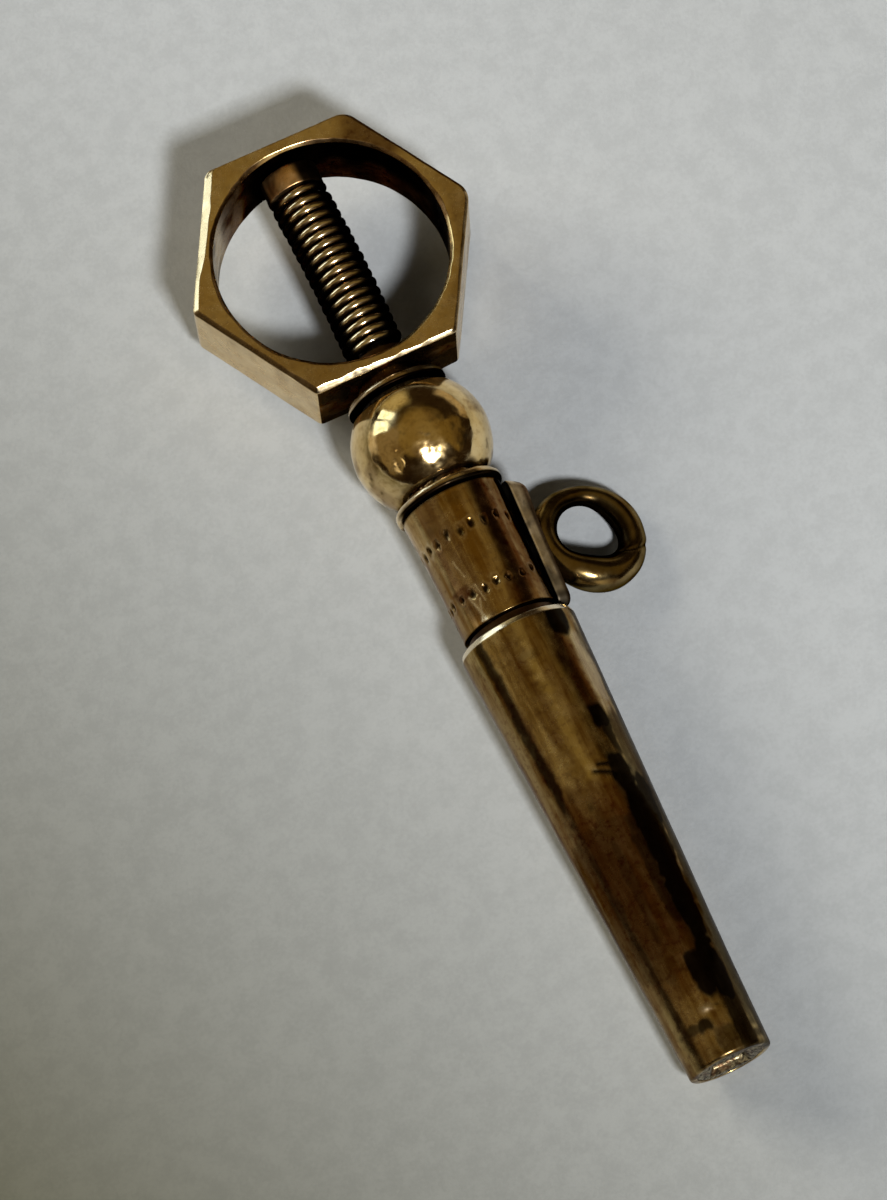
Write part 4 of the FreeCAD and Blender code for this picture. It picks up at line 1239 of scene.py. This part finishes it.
def make_coil():
    low, high = spring_lo[1] + COIL_WIRE, spring_hi[1] - COIL_WIRE
    count = COIL_TURNS * COIL_STEPS
    share = np.linspace(0, 1, count)
    turn = share * COIL_TURNS * TURN + math.radians(COIL_START)
    rng = np.random.default_rng(7)
    sway = np.repeat(rng.normal(0, COIL_SWAY, COIL_TURNS + 1), COIL_STEPS)[:count]
    sway = np.convolve(np.pad(sway, COIL_STEPS, mode="edge"),
                       np.ones(COIL_STEPS) / COIL_STEPS, "same")[COIL_STEPS:-COIL_STEPS]
    flat_ends = 0.6 * COIL_WIRE * (np.exp(-share * 60) - np.exp(-(1 - share) * 60))
    mean = COIL_OUTER - COIL_WIRE + 0.012 * np.sin(share * 37)
    lean = COIL_BOW * np.sin(share * math.pi)
    station = low + (high - low) * share + sway - flat_ends
    line = mean[:, None] * spokes(turn) + np.column_stack([lean, station, 0 * lean])
    ahead = unit(np.gradient(line, axis=0))
    out = spokes(turn)
    out = unit(out - ahead * np.sum(out * ahead, -1, keepdims=True))
    side = np.cross(ahead, out)
    around = ring_of(COIL_SIDES)[:, None]
    loops = line[:, None] + COIL_WIRE * (out[:, None] * np.cos(around) + side[:, None] * np.sin(around))
    piece = skin("coil_wire", loops, wrap=False)
    points = points_of(piece)
    up_share = np.clip((points[:, 1] - low) / (high - low), 0, 1)
    off_axis = points[:, 0] - COIL_BOW * np.sin(up_share * math.pi)
    inward = COIL_OUTER - np.hypot(off_axis, points[:, 2])
    # Painted highlight and shade: the wire's crests are painted lighter, and the gaps between the turns and
    # both sides of the coil are painted dark.
    highlit_crest = 1 - rise_to(inward, 0.01, 0.07)
    paint(piece, worn=0.6 * highlit_crest, tarnish=0.9 - 0.8 * highlit_crest + 0.2 * noise(points, 0.8, 111),
          grime=0.97 * top(rise_to(inward, 0.06, 0.14), rise_to(off_axis, 0.35, 0.90),
                           rise_to(-off_axis, 0.85, 1.15)))
    look = gold("spring_gold", tone=(0.90, 0.69, 0.36), stain=(0.68, 0.44, 0.16),
                rough=(0.12, 0.20), grain=3.0, grain_depth=0.003)
    finish(piece, look, "barrel", "spring_gold", "ratchet_spring")
    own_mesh(piece)


def nut_relief(points):
    outer = np.clip((radius_of(points) - 1.0) / 0.3, 0, 1)
    return outer * (lumpy(points, (0.03, 0.6, 121), (0.015, 0.25, 122)) - 0.03)


def make_nut():
    radius = nut_hi[0]
    dome = nut_hi[1] - BOW_CENTRE

    def over_dome(r):
        return BOW_CENTRE + math.sqrt(dome ** 2 - r * r)

    piece = turned("nut_dome", [
        (SPINDLE_RADIUS, nut_lo[1], 0, 4),
        (radius, nut_lo[1], 0.10, 8),
        (radius, over_dome(radius), 0.10, 2),
        *[(r, over_dome(r), 0, 0) for r in np.linspace(radius - 0.2, 0.02, 14)],
        (0.02, spindle_hi[1], 0, 3),
        (SPINDLE_RADIUS, spindle_hi[1], 0, 4),
    ], 120, nut_relief)
    points = points_of(piece)
    # Painted shade: all the nut but a stripe round -26 degrees is painted black.
    shaded_flanks = rise_to(np.abs(off_angle(points, -26)), 28, 46)
    paint(piece, grime=top(0.4 * noise(points, 0.4, 123), 0.97 * shaded_flanks),
          tarnish=0.4 * noise(points, 0.6, 124))
    look = gold("nut_gold", tone=(0.95, 0.60, 0.27), stain=(0.70, 0.34, 0.10), rough=(0.24, 0.42))
    finish(piece, look, "barrel", "nut_gold", "spring_nut")


def dress_inner():
    """Inner pieces keep their CAD meshes."""
    dark_steel = steel("dark_steel", (0.36, 0.31, 0.26), (0.08, 0.06, 0.045), (0.28, 0.5), 0.003)
    dull_brass = gold("dull_brass", tone=(0.52, 0.36, 0.15), stain=(0.26, 0.15, 0.06),
                      rough=(0.30, 0.5))
    # Painted shade: the spring's seat and the sleeve's washer are near black, for the dark gaps where they
    # show.
    gap_shade = gold("gap_shade_brass", tone=(0.10, 0.055, 0.025), stain=(0.02, 0.011, 0.006),
                     rough=(0.30, 0.5))
    for material, names in (
            (dark_steel, ("spindle", "ball_ratchet", "bow_ratchet")),
            (gap_shade, ("spring_seat", "sleeve_washer")),
            (dull_brass, ("barrel_cap", "sleeve_journal", "ball_core", "bow_bush"))):
        for name in names:
            slots = frame["nodes"][name].data.materials
            if not slots:
                slots.append(material)
            for index in range(len(slots)):
                slots[index] = material


# Paper. It slopes as the key's two resting points ask, and its colour falls off softly
# to one side, as the light of a room does.

PAPER_HALF = 700.0
PAPER_LIGHT = (0.514, 0.535, 0.546)
PAPER_SHADE = (0.065, 0.057, 0.012)
SHADE_HEADING = math.radians(20.6)
SHADE_START = 25.8
SHADE_END = -45.6
SHADE_BACK_START = -33.0
SHADE_BACK_END = -85.0
REST_TIP = (0.3, -2.07)
REST_BALL = (BALL_CENTRE, -3.435)
SLOPE_FROM = -6.0
SLOPE_TO = 58.0
SLOPE_EASE = 3.0


def paper_height(y):
    slope = (REST_BALL[1] - REST_TIP[1]) / (REST_BALL[0] - REST_TIP[0])

    def ramped(x):
        return SLOPE_EASE * np.logaddexp(0, x / SLOPE_EASE)

    def rise(place):
        return ramped(place - SLOPE_FROM) - ramped(place - SLOPE_TO)

    return REST_BALL[1] + slope * (rise(y) - rise(np.array(REST_BALL[0])))


def make_paper():
    steps = np.concatenate([np.linspace(-PAPER_HALF, -60, 12, endpoint=False),
                            np.linspace(-60, 120, 91),
                            np.linspace(120, PAPER_HALF, 13)[1:]])
    sides = np.linspace(-PAPER_HALF, PAPER_HALF, 29)
    points = [(x, y, z) for y, z in zip(steps, paper_height(steps)) for x in sides]
    columns = len(sides)
    corners = [i * columns + j for i in range(len(steps) - 1) for j in range(columns - 1)]
    faces = [(k, k + 1, k + columns + 1, k + columns) for k in corners]
    sheet = add_mesh("paper_sheet", points, faces, closed=False)
    material, tree = new_material("paper")
    plain = in_mm(tree)
    heading = (math.cos(SHADE_HEADING), math.sin(SHADE_HEADING), 0)
    along = vectors(tree, "DOT_PRODUCT", plain, heading)
    shade = ramp(tree, along, SHADE_START, SHADE_END)
    back = ramp(tree, along, SHADE_BACK_START, SHADE_BACK_END, 1.0, 0.2)
    colour = blend(tree, times(tree, shade, back), PAPER_LIGHT, PAPER_SHADE)
    clouds = lumps(tree, plain, 0.9, 3.0, 0.5)
    fibres = lumps(tree, plain, 4.5, 5.0, 0.65)
    mottle = plus(tree, times(tree, clouds, 0.5), times(tree, fibres, 0.5))
    level = ramp(tree, mottle, 0.36, 0.64, 0.940, 1.045)
    mottled = add(tree, "ShaderNodeVectorMath", {0: colour, "Scale": level}, operation="SCALE")
    surface(tree, {
        "Base Color": mottled.outputs["Vector"], "Roughness": 0.9,
        "Specular IOR Level": 0.15, "Normal": bump(tree, fibres, 0.018)})
    sheet.data.materials.append(material)


# What shiny metal sees round it: a dim room with lighter places. A zone is (middle azimuth,
# half its width, lowest elevation, highest elevation, softness, colour), in degrees.

SCENE_CENTRE = Vector((0.0, 0.028, 0.0))
LAMP_DISTANCE = 0.60
TENT_RADIUS = 1.0
TENT_DARK = (0.020, 0.012, 0.005)
TENT_LOW = (0.40, 0.39, 0.36)
TENT_HIGH = (0.19, 0.14, 0.052)
CEILING = (0.64, 0.87)
TENT_ZONES = [
    (-82, 34, 13, 54, 5, (0.190, 0.145, 0.075)),
    (-63, 12, -8, 15, 6, (0.52, 0.47, 0.38)),
    (-8, 14, 2, 34, 7, (0.42, 0.37, 0.21)),
    (60, 20, -3, 15, 4, (0.38, 0.31, 0.20)),
    (108, 26, 24, 60, 5, (0.150, 0.105, 0.032)),
    (172, 18, -4, 24, 8, (0.50, 0.42, 0.30)),
    (-29, 6, 10.5, 37.5, 0.8, (1.75, 2.02, 2.10)),
    (-47, 9, 7.5, 34.5, 0.8, (1.90, 2.18, 2.20)),
    (-118, 2.5, 28, 32, 1.5, (1.6, 1.4, 1.0)),
    (-94, 2.5, 39, 43, 1.5, (1.6, 1.4, 1.0)),
]


def direction(azimuth, elevation):
    """A direction from the key: azimuth in degrees from +Y towards +X."""
    a, e = math.radians(azimuth), math.radians(elevation)
    return Vector((math.sin(a) * math.cos(e), math.cos(a) * math.cos(e), math.sin(e)))


def sine(degrees):
    return math.sin(math.radians(degrees))


def make_tent():
    mesh = plain_mesh("tent", bmesh.ops.create_icosphere, subdivisions=4, radius=TENT_RADIUS)
    mesh.shade_smooth()
    tent = put("tent", mesh)
    tent.location = SCENE_CENTRE
    tent.visible_camera = False
    tent.visible_diffuse = False
    tent.visible_shadow = False
    tent.visible_transmission = False
    material, tree = new_material("room")
    where = add(tree, "ShaderNodeTexCoord").outputs["Object"]
    facing = vectors(tree, "NORMALIZE", where)
    height = add(tree, "ShaderNodeSeparateXYZ", {"Vector": facing}).outputs["Z"]
    level = vectors(tree, "NORMALIZE", vectors(tree, "MULTIPLY", where, (1, 1, 0)))
    colour = blend(tree, ramp(tree, height, -0.10, -0.03), TENT_LOW, TENT_DARK)
    colour = blend(tree, ramp(tree, height, *CEILING), colour, TENT_HIGH)
    for azimuth, half, low, high, soft, shade in TENT_ZONES:
        ahead = vectors(tree, "DOT_PRODUCT", level, direction(azimuth, 0))
        sideways = ramp(tree, ahead, sine(90 - half - soft), sine(90 - max(half - soft, 0)))
        above = ramp(tree, height, sine(low - soft), sine(low + soft))
        below = ramp(tree, height, sine(high + soft), sine(high - soft))
        share = times(tree, sideways, times(tree, above, below))
        colour = blend(tree, share, colour, shade)
    light = add(tree, "ShaderNodeEmission", {"Color": colour, "Strength": 1.0})
    add(tree, "ShaderNodeOutputMaterial", {"Surface": light.outputs["Emission"]})
    mesh.materials.append(material)
    material.cycles.emission_sampling = "NONE"


# A lamp is (name, azimuth, elevation, degrees wide, degrees high, radiance, colour, whether
# shiny metal mirrors it). The windows are mirrored as zones of the room instead.

LAMPS = [
    ("window_near", -29.0, 24.0, 12.0, 27.0, 8.2, (1.0, 0.92, 0.76), False),
    ("window_far", -47.0, 21.0, 18.0, 27.0, 8.2, (1.0, 0.92, 0.76), False),
    ("lamp", 176.5, 53.5, 7.0, 7.0, 144.0, (0.985, 1.0, 1.02), True),
]
WORLD_COLOUR = (1.0, 0.92, 0.75)
WORLD_LEVEL = 0.035


def make_lamps():
    for name, azimuth, elevation, wide, high, radiance, colour, mirrored in LAMPS:
        lamp = put(name, bpy.data.lights.new(name, "AREA"))
        lamp.data.shape = "RECTANGLE"
        lamp.data.size = 2 * LAMP_DISTANCE * math.tan(math.radians(wide / 2))
        lamp.data.size_y = 2 * LAMP_DISTANCE * math.tan(math.radians(high / 2))
        lamp.data.energy = 4 * radiance * lamp.data.size * lamp.data.size_y
        lamp.data.color = colour
        towards = direction(azimuth, elevation)
        lamp.location = SCENE_CENTRE + towards * LAMP_DISTANCE
        lamp.rotation_euler = towards.to_track_quat("Z", "Y").to_euler()
        lamp.visible_camera = False
        lamp.visible_glossy = mirrored
    world = bpy.data.worlds.new("sky")
    world.use_nodes = True
    backdrop = world.node_tree.nodes["Background"]
    backdrop.inputs["Color"].default_value = (*WORLD_COLOUR, 1.0)
    backdrop.inputs["Strength"].default_value = WORLD_LEVEL
    bpy.context.scene.world = world


make_camera()
make_barrel()
make_socket()
make_sleeve()
make_plate()
make_ring()
make_ball()
make_flange()
make_solder()
make_collar()
make_bow()
make_coil()
make_nut()
dress_inner()
make_paper()
make_tent()
make_lamps()

bpy.context.scene.view_settings.view_transform = "Standard"
